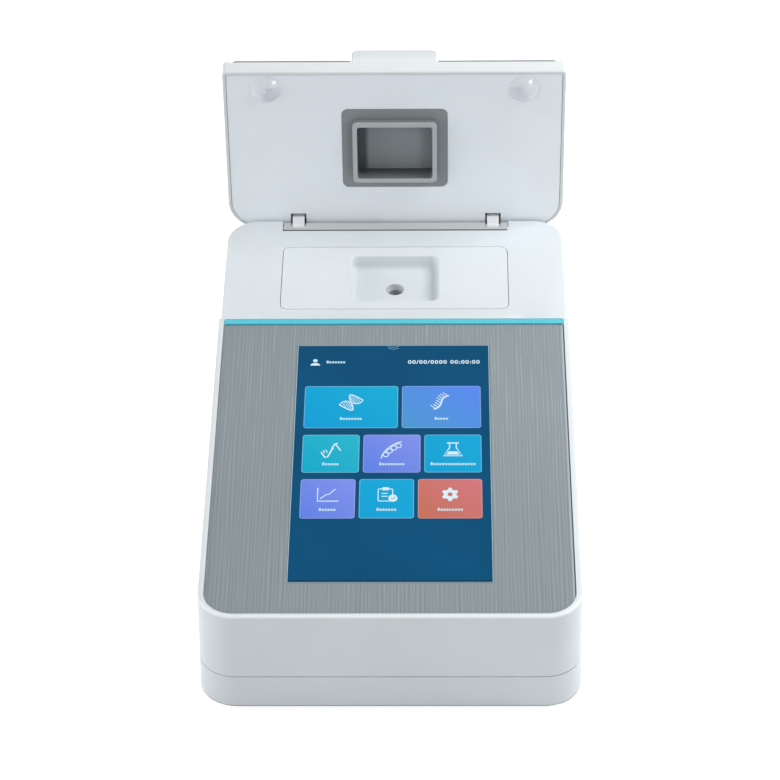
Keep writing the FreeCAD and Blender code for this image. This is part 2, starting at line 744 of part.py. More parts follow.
def notch_block(grow, drop, top):
    """Block on the hinge notch, grown to its front and sides."""
    return wide_box(
        BAR_WIDTH / 2 + grow, AXIS_Y - BAR_FRONT - grow, REAR_Y + CASE_WALL, DECK_Z - drop, top
    )


def upper_housing(form, room):
    """Upper casing half: sides, panel seat, sample deck, hinge notch and rear openings."""
    above = wide_box(FAR / 2, -FAR, FAR, PARTING_Z, FAR)
    shell = form.cut(room).common(above)

    additions = [notch_block(TROUGH_WALL, BAR_DEPTH + TROUGH_WALL, DECK_Z - DECK_WALL).common(form)]
    for x, y in case_screw_places():
        roof = DECK_Z - DECK_WALL if y > STEP_Y else rim_plane(y) - PANEL_ROOF
        additions.append(rod(CASE_BOSS_RADIUS, roof + OVERLAP - PARTING_Z, vec(x, y, PARTING_Z)))
    additions += display_bosses()
    shell = fuse_all([shell] + additions)

    plate_y0 = POCKET_Y - PLATE_LENGTH / 2
    plate_y1 = POCKET_Y + PLATE_LENGTH / 2
    cuts = panel_cuts() + dimples() + display_screw_holes()
    cuts.append(notch_block(0.0, BAR_DEPTH, FAR))
    cuts.append(
        rounded_block(
            PLATE_WIDTH / 2 + PLATE_GAP,
            plate_y0 - PLATE_GAP,
            plate_y1 + PLATE_GAP,
            DECK_Z - PLATE_SHEET,
            FAR,
            PLATE_RADIUS + PLATE_GAP,
        )
    )
    cuts.append(
        rounded_block(
            PLATE_WIDTH / 2 - PLATE_LEDGE,
            plate_y0 + PLATE_LEDGE,
            plate_y1 - PLATE_LEDGE,
            DECK_Z - 2 * DECK_WALL,
            FAR,
            PLATE_RADIUS,
        )
    )
    for x, y in case_screw_places():
        depth = CASE_SCREW_GRIP + HEAD_CLEAR
        cuts.append(rod(SCREW_RADIUS + SCREW_FIT, depth, vec(x, y, PARTING_Z)))
    return shell.cut(Part.makeCompound(cuts + rear_openings()))


def rubber_feet():
    return [rod(FOOT_RADIUS, FOOT_PROUD + FOOT_SOCKET, vec(x, y, 0)) for x, y in foot_places()]


def housing_screws():
    """Long screws from below that hold the two casing halves together."""
    head_z = SCREW_SEAT_Z - SCREW_HEAD_HEIGHT
    length = PARTING_Z - head_z + CASE_SCREW_GRIP
    head = rod(SCREW_HEAD_RADIUS, SCREW_HEAD_HEIGHT, vec(0, 0, head_z))
    screw = head.fuse(rod(SCREW_RADIUS, length, vec(0, 0, head_z))).removeSplitter()
    return [screw.translated(vec(x, y, 0)) for x, y in case_screw_places()]


# ================================================================ front panel and display
def front_panel():
    """Brushed sheet laid into the rim, open for the touch glass."""
    top = -PANEL_SINK
    sheet = panel_outline(0.0, top - PANEL_SHEET, top)
    front = screen_front()
    window = wide_box(
        SCREEN_WIDTH / 2 + PANEL_GAP, front - PANEL_GAP, front + SCREEN_LENGTH + PANEL_GAP, -FAR, FAR
    )
    return on_slope(sheet.cut(window))


def accent_strip():
    return on_slope(strip_outline(0.0, -(PANEL_SINK + PANEL_SHEET), -STRIP_SINK))


def touch_glass():
    front = screen_front()
    glass = rounded_block(
        SCREEN_WIDTH / 2,
        front,
        front + SCREEN_LENGTH,
        -(PANEL_SINK + PANEL_SHEET),
        -PANEL_SINK,
        GLASS_RADIUS,
    )
    return on_slope(glass)


def lcd_module():
    front = lcd_front()
    top = -(PANEL_SINK + PANEL_SHEET)
    return on_slope(
        rounded_block(LCD_WIDTH / 2, front, front + LCD_LENGTH, top - LCD_THICK, top, LCD_RADIUS)
    )


def display_bracket():
    """Sheet frame that clamps the display up against the panel."""
    top = -(PANEL_SINK + PANEL_SHEET + LCD_THICK)
    front = lcd_front()
    outer = rounded_block(
        LCD_WIDTH / 2 + BRACKET_EAR,
        front,
        front + LCD_LENGTH,
        top - BRACKET_SHEET,
        top,
        BRACKET_RADIUS,
    )
    inner = rounded_block(
        LCD_WIDTH / 2 - BRACKET_LAP,
        front + BRACKET_LAP,
        front + LCD_LENGTH - BRACKET_LAP,
        top - BRACKET_SHEET,
        top,
        BRACKET_RADIUS,
    )
    holes = [small_hole(FAR, vec(x, run, -FAR / 2)) for x, run in display_screw_places()]
    return on_slope(outer.cut(Part.makeCompound([inner] + holes)))


def display_screws():
    base = -(PANEL_SINK + PANEL_SHEET + LCD_THICK + BRACKET_SHEET + SMALL_HEAD_HEIGHT)
    return [
        on_slope(small_screw(vec(x, run, base), Z_AXIS)) for x, run in display_screw_places()
    ]


# ================================================================ sample deck
def pocket_form(grow, top, bottom):
    """Tapered form of the sample pocket, with its sides moved out by grow."""
    taper = math.tan(math.radians(POCKET_DRAFT_DEG)) * (top - bottom)
    y0, y1 = POCKET_Y - POCKET_LENGTH / 2, POCKET_Y + POCKET_LENGTH / 2
    low, high = (bottom, grow - taper), (top, grow)
    return tapered_block(POCKET_WIDTH / 2, y0, y1, POCKET_RADIUS, low, high)


def deck_plate():
    """Insert flush in the deck, with the sample pocket and the hole above the well."""
    plate = rounded_block(
        PLATE_WIDTH / 2,
        POCKET_Y - PLATE_LENGTH / 2,
        POCKET_Y + PLATE_LENGTH / 2,
        DECK_Z - PLATE_SHEET,
        DECK_Z,
        PLATE_RADIUS,
    )
    tub_top = DECK_Z - PLATE_SHEET / 2
    floor_z = DECK_Z - POCKET_DEPTH
    hollow = pocket_form(0.0, DECK_Z, floor_z)
    hollow = hollow.makeFillet(POCKET_BOWL, edges_where(hollow, lambda p: abs(p.z - floor_z) < HAIR))
    plate = plate.fuse(pocket_form(POCKET_WALL, tub_top, POCKET_UNDER_Z)).cut(hollow)

    def lip(p):
        beside = abs(p.x) < PLATE_WIDTH / 2 - PLATE_LEDGE
        between = abs(p.y - POCKET_Y) < PLATE_LENGTH / 2 - PLATE_LEDGE
        return beside and between and abs(p.z - DECK_Z) < HAIR

    plate = plate.makeChamfer(POCKET_LIP, edges_where(plate, lip))
    cuts = [rod(WELL_MOUTH, FAR, vec(0, POCKET_Y, POCKET_UNDER_Z - FAR / 2))]
    for x, y in block_screw_places():
        cuts.append(small_hole(BLOCK_SCREW_GRIP + SCREW_FIT, vec(x, y, POCKET_UNDER_Z)))
    return plate.cut(Part.makeCompound(cuts)).removeSplitter()


def block_screw_places():
    x = POCKET_WIDTH / 2 - BLOCK_SCREW_INSET
    reach = POCKET_LENGTH / 2 - BLOCK_SCREW_INSET
    return [(side * x, POCKET_Y + end * reach) for side in (-1, 1) for end in (-1, 1)]


def beam_rods(radius):
    """Excitation channels along X, from one side of the block to the other."""
    return rod(radius, BLOCK_SIDE, vec(-BLOCK_SIDE / 2, POCKET_Y, BEAM_Z), X_AXIS)


def detect_rod(radius):
    """Emission channel from the well to the block's front face."""
    return rod(radius, BLOCK_SIDE / 2, vec(0, POCKET_Y, BEAM_Z), -Y_AXIS)


def tube_holder():
    """Flanged metal sleeve under the pocket that holds the sample tube in the beams."""
    bottom = POCKET_UNDER_Z - WELL_DEPTH - HOLDER_FLOOR
    flange = rod(
        HOLDER_FLANGE, HOLDER_FLANGE_SHEET, vec(0, POCKET_Y, POCKET_UNDER_Z - HOLDER_FLANGE_SHEET)
    )
    body = rod(HOLDER_RADIUS, POCKET_UNDER_Z - bottom, vec(0, POCKET_Y, bottom))
    well = rod(WELL_RADIUS, WELL_DEPTH, vec(0, POCKET_Y, POCKET_UNDER_Z - WELL_DEPTH))
    windows = beam_rods(BEAM_RADIUS / 2).fuse(detect_rod(BEAM_RADIUS / 2))
    return flange.fuse(body).cut(well).cut(windows).removeSplitter()


def optical_block():
    """Dark block round the tube holder, drilled for the light paths."""
    side = BLOCK_SIDE / 2
    block = rounded_block(
        side, POCKET_Y - side, POCKET_Y + side, BLOCK_Z, POCKET_UNDER_Z, BLOCK_RADIUS
    )
    seat_z = POCKET_UNDER_Z - HOLDER_FLANGE_SHEET
    cuts = [
        rod(HOLDER_FLANGE + HOLDER_GAP, FAR, vec(0, POCKET_Y, seat_z)),
        rod(HOLDER_RADIUS + HOLDER_GAP, FAR, vec(0, POCKET_Y, BLOCK_Z - OVERLAP)),
        beam_rods(BEAM_RADIUS),
        detect_rod(DETECT_RADIUS),
    ]
    for x, y in block_screw_places():
        cuts.append(small_hole(FAR, vec(x, y, BLOCK_Z - OVERLAP)))
    return block.cut(Part.makeCompound(cuts))


def optics_screws():
    """Long screws up through the optical block into the pocket's floor."""
    base_z = BLOCK_Z - SMALL_HEAD_HEIGHT
    length = BLOCK_HEIGHT + BLOCK_SCREW_GRIP
    return [small_screw(vec(x, y, base_z), Z_AXIS, length) for x, y in block_screw_places()]


def filter_disc(radius, direction):
    """Coloured filter let into a light channel near the block's outer face."""
    place = vec(0, POCKET_Y, BEAM_Z) + direction * (BLOCK_SIDE / 2 - FILTER_STOP)
    return rod(radius - SCREW_FIT, FILTER_SHEET, place, -direction)


def excitation_filters():
    return [filter_disc(BEAM_RADIUS, direction) for direction in (X_AXIS, -X_AXIS)]


def emission_filter():
    return filter_disc(DETECT_RADIUS, -Y_AXIS)


def light_source(direction):
    """Star board on the block's side with its diode reaching into the channel."""
    face = vec(0, POCKET_Y, BEAM_Z) + direction * (BLOCK_SIDE / 2)
    half = LED_BOARD_SIDE / 2
    board = Part.makeBox(LED_BOARD_SHEET, LED_BOARD_SIDE, LED_BOARD_SIDE, vec(0, -half, -half))
    if direction.x < 0:
        board.translate(vec(-LED_BOARD_SHEET, 0, 0))
    board.translate(face)
    diode = rod(LED_RADIUS, LED_LENGTH, face, -direction)
    return board.fuse(diode).removeSplitter()


def detector_board():
    """Board on the block's front face with its photodiode in the emission channel."""
    y = POCKET_Y - BLOCK_SIDE / 2
    half = DETECT_BOARD_SIDE / 2
    top = min(BEAM_Z + half, POCKET_UNDER_Z)
    board = wide_box(half, y - BOARD_SHEET, y, top - DETECT_BOARD_SIDE, top)
    return board.fuse(rod(DETECTOR_RADIUS, DETECTOR_LENGTH, vec(0, y, BEAM_Z), Y_AXIS))


# ================================================================ electronics
def main_board():
    """Processor board on its posts, with its larger components."""
    z = FLOOR_Z + STANDOFF_HEIGHT
    front = FRONT_Y + MAIN_BOARD_FRONT
    middle = front + MAIN_BOARD_LENGTH / 2
    board = wide_box(MAIN_BOARD_WIDTH / 2, front, front + MAIN_BOARD_LENGTH, z, z + BOARD_SHEET)
    holes = [small_hole(FAR, vec(x, y, 0)) for x, y in main_board_corners()]
    board = board.cut(Part.makeCompound(holes))

    def component(x, y, width, length, height):
        top = z + BOARD_SHEET
        return box(x - width / 2, x + width / 2, y - length / 2, y + length / 2, top, top + height)

    header_y = front + MAIN_BOARD_LENGTH - HEADER_INSET
    components = [
        component(0, middle, MODULE_SIDE, MODULE_SIDE, MODULE_HEIGHT),
        component(MEMORY_X, middle, MEMORY_SIDE, MEMORY_SIDE, MEMORY_HEIGHT),
        component(COIL_X, middle, COIL_SIDE, COIL_SIDE, COIL_HEIGHT),
        component(0, header_y, HEADER_WIDTH, HEADER_LENGTH, HEADER_HEIGHT),
    ]
    return fuse_all([board] + components)


def board_screws():
    z = FLOOR_Z + STANDOFF_HEIGHT + BOARD_SHEET + SMALL_HEAD_HEIGHT
    io_z = IO_BOARD_TOP + SMALL_HEAD_HEIGHT
    main = [small_screw(vec(x, y, z), -Z_AXIS) for x, y in main_board_corners()]
    return main + [small_screw(vec(x, y, io_z), -Z_AXIS) for x, y in io_board_corners()]


def io_board():
    """Small board that carries the power jack and the data socket."""
    half = IO_BOARD_WIDTH / 2
    board = box(
        IO_BOARD_X - half, IO_BOARD_X + half, IO_BOARD_Y, IO_BOARD_Y + IO_BOARD_LENGTH,
        IO_BOARD_TOP - BOARD_SHEET, IO_BOARD_TOP,
    )
    holes = [small_hole(FAR, vec(x, y, 0)) for x, y in io_board_corners()]
    return board.cut(Part.makeCompound(holes))


def lid_sensor():
    """Hall sensor board under the deck, below the closed lid's magnet."""
    y = AXIS_Y - SENSOR_REACH
    top = DECK_Z - DECK_WALL
    under = top - BOARD_SHEET
    board_half, chip_half = SENSOR_LENGTH / 2, CHIP_LENGTH / 2
    board = wide_box(SENSOR_WIDTH / 2, y - board_half, y + board_half, under, top)
    chip = wide_box(CHIP_WIDTH / 2, y - chip_half, y + chip_half, under - CHIP_HEIGHT, under)
    return board.fuse(chip).removeSplitter()


# ================================================================ rear connectors
def power_jack():
    """Barrel socket: body on the board, nose through the rear wall, centre pin."""
    front = REAR_Y - CASE_WALL - PORT_GAP - JACK_DEPTH
    rear = REAR_Y - CASE_WALL - PORT_GAP
    bottom = IO_BOARD_TOP
    body = box(
        JACK_X - JACK_WIDTH / 2, JACK_X + JACK_WIDTH / 2, front, rear, bottom, bottom + JACK_HEIGHT
    )
    nose = rod(JACK_NOSE_RADIUS, REAR_Y - rear, vec(JACK_X, rear, PORT_Z), Y_AXIS)
    bore = rod(JACK_BORE_RADIUS, JACK_BORE_DEPTH, vec(JACK_X, REAR_Y, PORT_Z), -Y_AXIS)
    pin_base = vec(JACK_X, REAR_Y - JACK_BORE_DEPTH, PORT_Z)
    pin = rod(JACK_PIN_RADIUS, JACK_BORE_DEPTH - JACK_PIN_SETBACK, pin_base, Y_AXIS)
    return fuse_all([body.fuse(nose).cut(bore), pin])


def usb_port():
    """Type A data socket: folded metal shell with its contact tongue."""
    rear = REAR_Y - PORT_GAP
    front = rear - USB_DEPTH
    z0 = IO_BOARD_TOP
    half = USB_WIDTH / 2
    shell = box(USB_X - half, USB_X + half, front, rear, z0, z0 + USB_HEIGHT)
    room = box(
        USB_X - half + USB_SHELL, USB_X + half - USB_SHELL,
        front + USB_BACK, rear, z0 + USB_SHELL, z0 + USB_HEIGHT - USB_SHELL,
    )
    tongue_top = z0 + USB_HEIGHT - USB_TONGUE_DROP
    tongue = box(
        USB_X - half + 2 * USB_SHELL, USB_X + half - 2 * USB_SHELL,
        front + USB_SHELL, rear - USB_TONGUE, tongue_top - USB_TONGUE, tongue_top,
    )
    return shell.cut(room).fuse(tongue).removeSplitter()


def switch_frame():
    """Snap-in body of the power switch with its bezel and the rocker's well."""
    wide, high = SWITCH_WIDTH / 2, SWITCH_HEIGHT / 2

    def block(lap, y0, y1):
        return box(
            SWITCH_X - wide - lap, SWITCH_X + wide + lap, y0, y1,
            PORT_Z - high - lap, PORT_Z + high + lap,
        )

    bezel = block(BEZEL_LAP, SWITCH_FACE_Y, SWITCH_FACE_Y + BEZEL_SHEET)
    body = block(0.0, SWITCH_FACE_Y - SWITCH_DEPTH, SWITCH_FACE_Y)
    well = block(-SWITCH_WALL, ROCKER_Y - ROCKER_WIDTH / 2 + ROCKER_GAP, FAR)
    length = ROCKER_HEIGHT + 2 * (AXLE_STUB + AXLE_SPARE)
    sockets = rod(
        ROCKER_AXLE_RADIUS + PIN_RUNNING, length, vec(SWITCH_X, ROCKER_Y, PORT_Z - length / 2)
    )
    return bezel.fuse(body).cut(well).cut(sockets).removeSplitter()


def switch_rocker():
    """Rocker with a hollow face and round ends, tilted to its off side, on stub axles."""
    half = ROCKER_WIDTH / 2
    rise = half * math.tan(math.radians(ROCKER_TILT_DEG))
    middle = ROCKER_DEPTH / 2
    outline = [vec(x, y, 0) for x, y in ((-half, -middle), (half, -middle))]
    outline += [vec(x, middle + y, 0) for x, y in ((half, rise), (0, 0), (-half, rise))]
    wedge = Part.Face(Part.makePolygon(outline + outline[:1])).extrude(vec(0, 0, ROCKER_HEIGHT))
    body = wedge.common(rod(half, ROCKER_HEIGHT, vec(0, 0, 0)))
    body.translate(vec(0, 0, -ROCKER_HEIGHT / 2))
    length = ROCKER_HEIGHT + 2 * AXLE_STUB
    rocker = body.fuse(rod(ROCKER_AXLE_RADIUS, length, vec(0, 0, -length / 2))).removeSplitter()
    rocker.rotate(vec(0, 0, 0), Z_AXIS, ROCKER_TILT_DEG)
    rocker.translate(vec(SWITCH_X, ROCKER_Y, PORT_Z))
    return rocker


# ================================================================ hinge
def bar_profile():
    """(y, z) cross-section of the hinge bar about the axis, round over its rear edge."""
    front = -(BAR_FRONT - BAR_FRONT_GAP)
    bottom = AXIS_BELOW_DECK - BAR_DEPTH
    radius = KNUCKLE_RADIUS
    corner = radius * math.sqrt(0.5)
    arc = Part.Arc(vec(0, 0, radius), vec(0, corner, corner), vec(0, radius, 0)).toShape()
    path = [vec(0, radius, 0), vec(0, radius, bottom), vec(0, front, bottom), vec(0, front, radius)]
    lines = [Part.makeLine(a, b) for a, b in zip(path, path[1:])]
    lines.append(Part.makeLine(path[-1], vec(0, 0, radius)))
    return Part.Wire([arc] + lines)


def hinge_bar():
    """Grey bar in the deck's rear notch: ears and slots for the lid's two knuckles."""
    half = BAR_WIDTH / 2 - BAR_GAP
    bar = Part.Face(bar_profile()).extrude(vec(2 * half, 0, 0))
    bar.translate(vec(-half, 0, 0))
    slot_bottom = -(KNUCKLE_RADIUS + SLOT_CLEAR)
    cuts = []
    for side in (-1, 1):
        x = side * KNUCKLE_X
        cuts.append(
            box(x - SLOT_WIDTH / 2, x + SLOT_WIDTH / 2, slot_bottom, FAR, slot_bottom, FAR)
        )
    for pin_x in (-half, KNUCKLE_X - SLOT_WIDTH / 2 - PIN_INNER_GRIP):
        length = half - (KNUCKLE_X - SLOT_WIDTH / 2 - PIN_INNER_GRIP)
        cuts.append(rod(PIN_RADIUS + PIN_FIT, length, vec(pin_x, 0, 0), X_AXIS))
    bar = bar.cut(Part.makeCompound(cuts))
    bar.translate(vec(0, AXIS_Y, AXIS_Z))
    return bar


def hinge_pins():
    start = KNUCKLE_X - SLOT_WIDTH / 2 - PIN_INNER_GRIP
    length = BAR_WIDTH / 2 - BAR_GAP - start
    return both_sides(rod(PIN_RADIUS, length, vec(start, AXIS_Y, AXIS_Z), X_AXIS))


def friction_washers():
    """Washers between each knuckle and its slot's walls that hold the lid where it is put."""
    washers = []
    offset = KNUCKLE_WIDTH / 2 + WASHER_PLAY
    for start in (KNUCKLE_X + offset, KNUCKLE_X - offset - WASHER_SHEET):
        base = vec(start, AXIS_Y, AXIS_Z)
        washer = ring(WASHER_RADIUS, PIN_RADIUS + PIN_RUNNING, WASHER_SHEET, base, X_AXIS)
        washers += both_sides(washer)
    return washers


def arm_screw_places():
    """(x, reach) of the screws that hold each hinge leaf to the lid."""
    reach = ARM_TOP + LEAF_LENGTH / 2
    offset = LEAF_WIDTH / 2 - SMALL_HEAD_RADIUS - LEAF_MARGIN
    return [
        (side * KNUCKLE_X + shift, reach) for side in (-1, 1) for shift in (-offset, offset)
    ]


def hinge_arm():
    """One lid arm, closed pose: bored knuckle, cranked neck and the leaf inside the lid."""
    x0 = KNUCKLE_X - KNUCKLE_WIDTH / 2
    x1 = KNUCKLE_X + KNUCKLE_WIDTH / 2
    knuckle = rod(KNUCKLE_RADIUS, KNUCKLE_WIDTH, vec(x0, 0, 0), X_AXIS)
    radius = KNUCKLE_RADIUS
    neck_back = LID_WALL - AXIS_FROM_REAR + COVER_GAP
    neck = side_prism(
        [
            (radius, 0.0),
            (radius, radius / 2),
            (-neck_back, LID_FACE),
            (-neck_back, LID_CEILING),
            (-ARM_TOP, LID_CEILING),
            (-ARM_TOP, LID_FACE),
            (-radius, radius),
            (-radius, 0.0),
        ],
        x0,
        x1,
    )
    leaf = rounded_block(
        LEAF_WIDTH / 2,
        -ARM_TOP - LEAF_LENGTH,
        -neck_back,
        LID_CEILING - LEAF_SHEET,
        LID_CEILING,
        LEAF_RADIUS,
        x=KNUCKLE_X,
    )
    arm = fuse_all([knuckle, neck, leaf])
    cuts = [rod(PIN_RADIUS + PIN_RUNNING, FAR, vec(x0 - OVERLAP, 0, 0), X_AXIS)]
    for x, reach in arm_screw_places():
        cuts.append(small_hole(FAR, vec(x, -reach, LID_CEILING - LEAF_SHEET - OVERLAP)))
    return arm.cut(Part.makeCompound(cuts))


def hinge_arms():
    return [open_lid(shape) for shape in both_sides(hinge_arm())]


def leaf_screw_length():
    return LEAF_SHEET + LID_ROOF - TOP_SHEET - LEAF_SCREW_SPARE


def leaf_screws():
    base = LID_CEILING - LEAF_SHEET - SMALL_HEAD_HEIGHT
    return [
        open_lid(small_screw(vec(x, -reach, base), Z_AXIS, leaf_screw_length()))
        for x, reach in arm_screw_places()
    ]


# ================================================================ lid
def lid_outline(inset, z0, z1):
    """Block on the lid's plan outline, closed pose, with its edge moved in by inset."""
    return rounded_block(
        HALF - inset,
        -LID_REACH + inset,
        AXIS_FROM_REAR - inset,
        z0,
        z1,
        LID_FRONT_RADIUS - inset / 2,
        CORNER_RADIUS - inset,
    )


def cover_post_places():
    """(x, reach) of the posts that the lid's inner cover rests on."""
    return [
        (side * x, reach)
        for side in (-1, 1)
        for x, reach in ((BUMPER_X, BUMPER_REACH), (REAR_POST_X, REAR_POST_REACH))
    ]


def lid_tab():
    """Upright finger tab along the middle of the lid's free edge."""
    front, back = -LID_REACH, -LID_REACH + TAB_THICK
    tab = wide_box(TAB_WIDTH / 2, front, back, LID_CEILING, TAB_TOP)

    def corner(p):
        return abs(abs(p.x) - TAB_WIDTH / 2) < HAIR and abs(p.z - TAB_TOP) < HAIR

    def lip(p):
        on_face = abs(p.y - front) < HAIR or abs(p.y - back) < HAIR
        return on_face and p.z > LID_TOP

    tab = tab.makeFillet(TAB_RADIUS, edges_where(tab, corner))
    return tab.makeFillet(TAB_ROUND, edges_where(tab, lip))


def top_recess(gap, depth):
    """Block on the outline of the brushed sheet in the roof, open at the free edge."""
    return rounded_block(
        HALF - TOP_INSET + gap,
        -LID_REACH + TOP_SETBACK - gap,
        AXIS_FROM_REAR - TOP_INSET + gap,
        LID_TOP - depth,
        LID_TOP,
        TOP_RADIUS,
        CORNER_RADIUS - TOP_INSET + gap,
    )


def tab_relief(gap):
    """Block round the foot of the finger tab."""
    return wide_box(TAB_WIDTH / 2 + gap, -LID_REACH, -LID_REACH + TAB_THICK + gap, LID_CEILING, FAR)


def lid_shell():
    """Moulded lid: roof, side walls, cover posts and the finger tab."""
    block = lid_outline(0.0, LID_FACE, LID_TOP)

    def rims(p):
        return abs(p.z - LID_FACE) < HAIR or abs(p.z - LID_TOP) < HAIR

    shell = block.makeFillet(LID_ROUND, edges_where(block, rims))
    shell = shell.cut(lid_outline(LID_WALL, 0.0, LID_CEILING))
    mouth = wide_box(
        HALF - TOP_INSET + PANEL_GAP,
        -FAR,
        -LID_REACH + TOP_RADIUS + TOP_SETBACK,
        LID_TOP - TOP_SHEET,
        FAR,
    )
    recess = top_recess(PANEL_GAP, TOP_SHEET).fuse(mouth)
    posts = [
        rod(COVER_POST_RADIUS, LID_CEILING - COVER_BACK, vec(x, -reach, COVER_BACK))
        for x, reach in cover_post_places()
    ]
    shell = fuse_all([shell.cut(recess), lid_tab()] + posts)
    grip = COVER_SCREW_GRIP + SCREW_FIT
    holes = [
        rod(COVER_SCREW_RADIUS + SCREW_FIT, grip, vec(x, -BUMPER_REACH, COVER_BACK))
        for x in (-BUMPER_X, BUMPER_X)
    ]
    depth = leaf_screw_length() - LEAF_SHEET + SCREW_FIT
    for x, reach in arm_screw_places():
        holes.append(small_hole(depth, vec(x, -reach, LID_CEILING)))
    return open_lid(shell.cut(Part.makeCompound(holes)))


def lid_top_panel():
    """Brushed sheet let into the lid's roof, cut back round the finger tab."""
    return open_lid(top_recess(0.0, TOP_SHEET).cut(tab_relief(PLATE_GAP)))


def flange_block(gap, z0, z1):
    return rounded_block(
        FLANGE_WIDTH / 2 + gap,
        -POCKET_REACH - FLANGE_LENGTH / 2 - gap,
        -POCKET_REACH + FLANGE_LENGTH / 2 + gap,
        z0,
        z1,
        FLANGE_RADIUS + gap,
    )


def lid_inner_cover():
    """Liner of the lid, open for the light shield, the arms and the bumper screws."""
    sheet = lid_outline(LID_WALL + COVER_GAP, COVER_FACE, COVER_BACK)
    cuts = [flange_block(PANEL_GAP, 0, FAR)]
    for side in (-1, 1):
        x = side * KNUCKLE_X
        slot_y = -(ARM_TOP + ARM_SLOT_PLAY)
        cuts.append(box(x - SLOT_WIDTH / 2, x + SLOT_WIDTH / 2, slot_y, FAR, 0, LID_TOP))
        bumper = vec(side * BUMPER_X, -BUMPER_REACH, 0)
        cuts.append(rod(BUMPER_RADIUS, COVER_FACE + BUMPER_SOCKET, bumper))
        cuts.append(rod(COVER_SCREW_RADIUS + SCREW_FIT, FAR, bumper))
    return open_lid(sheet.cut(Part.makeCompound(cuts)))


def lid_screws():
    """Screws through the cover into its front posts, hidden by the bumpers."""
    head_z = COVER_FACE + BUMPER_SOCKET
    length = COVER_BACK - head_z + COVER_SCREW_GRIP
    return [
        open_lid(rod(COVER_SCREW_RADIUS, length, vec(x, -BUMPER_REACH, head_z)))
        for x in (-BUMPER_X, BUMPER_X)
    ]


def lid_bumpers():
    """Soft domes that meet the deck's dimples as the lid closes."""
    radius, ball = bumper_ball(0.0)
    face = vec(BUMPER_X, -BUMPER_REACH, LID_FACE)
    ball.translate(face + vec(0, 0, radius - BUMPER_HEIGHT))
    cap = ball.common(rod(BUMPER_RADIUS, BUMPER_HEIGHT + OVERLAP, face, -Z_AXIS))
    disc = rod(BUMPER_RADIUS, COVER_FACE + BUMPER_SOCKET - LID_FACE, face)
    return [open_lid(shape) for shape in both_sides(cap.fuse(disc).removeSplitter())]


def light_shield():
    """Grey seal: flange in the cover, and a collar that reaches into the sample pocket."""
    flange_face = LID_FACE + FLANGE_SINK
    end = LID_FACE - COLLAR_PROUD

    def collar(inset, z0, z1):
        return rounded_block(
            COLLAR_WIDTH / 2 - inset,
            -POCKET_REACH - COLLAR_LENGTH / 2 + inset,
            -POCKET_REACH + COLLAR_LENGTH / 2 - inset,
            z0,
            z1,
            COLLAR_RADIUS - inset / 2,
        )

    flange = flange_block(0.0, flange_face, flange_face + FLANGE_SHEET)
    body = flange.fuse(collar(0.0, end, LID_CEILING))
    hollow = collar(COLLAR_WALL, end - OVERLAP, end + COLLAR_DEPTH)
    return open_lid(body.cut(hollow).removeSplitter())


def lid_magnet():
    """Magnet behind the cover that tells the sensor that the lid is shut."""
    return open_lid(rod(MAGNET_RADIUS, MAGNET_HEIGHT, vec(0, -SENSOR_REACH, COVER_BACK)))


# ================================================================ build
def build():
    form, room = casing_form(), casing_room()
    return {
        "base_tray": base_tray(form, room),
        "upper_housing": upper_housing(form, room),
        "rubber_feet": rubber_feet(),
        "housing_screws": housing_screws(),
        "front_panel": front_panel(),
        "accent_strip": accent_strip(),
        "touch_glass": touch_glass(),
        "lcd_module": lcd_module(),
        "display_bracket": display_bracket(),
        "display_screws": display_screws(),
        "deck_plate": deck_plate(),
        "tube_holder": tube_holder(),
        "optical_block": optical_block(),
        "optics_screws": optics_screws(),
        "excitation_filters": excitation_filters(),
        "emission_filter": emission_filter(),
        "blue_light_source": light_source(-X_AXIS),
        "red_light_source": light_source(X_AXIS),
        "detector_board": detector_board(),
        "main_board": main_board(),
        "board_screws": board_screws(),
        "io_board": io_board(),
        "lid_sensor": lid_sensor(),
        "power_jack": power_jack(),
        "usb_port": usb_port(),
        "switch_frame": switch_frame(),
        "switch_rocker": switch_rocker(),
        "hinge_bar": hinge_bar(),
        "hinge_pins": hinge_pins(),
        "friction_washers": friction_washers(),
        "hinge_arms": hinge_arms(),
        "leaf_screws": leaf_screws(),
        "lid_shell": lid_shell(),
        "lid_top_panel": lid_top_panel(),
        "lid_inner_cover": lid_inner_cover(),
        "lid_screws": lid_screws(),
        "lid_bumpers": lid_bumpers(),
        "light_shield": light_shield(),
        "lid_magnet": lid_magnet(),
    }


os.makedirs("parts", exist_ok=True)
for node, shape in build().items():
    if isinstance(shape, list):
        shape = Part.makeCompound(shape)
    shape.exportStep("parts/" + node + ".step")
    print(node, "solids", len(shape.Solids), "valid", shape.isValid(), "volume", round(shape.Volume))
print("lid axis", round(AXIS_Y, 4), round(AXIS_Z, 4), "rocker axis", SWITCH_X, round(ROCKER_Y, 4), PORT_Z)
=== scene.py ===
"""Looks of the benchtop fluorometer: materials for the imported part, the touch screen's
picture, the pale studio and the camera. Metres; lengths are written in millimetres * MM.
"""

import json
import math

import bmesh
import bpy
from mathutils import Matrix, Vector


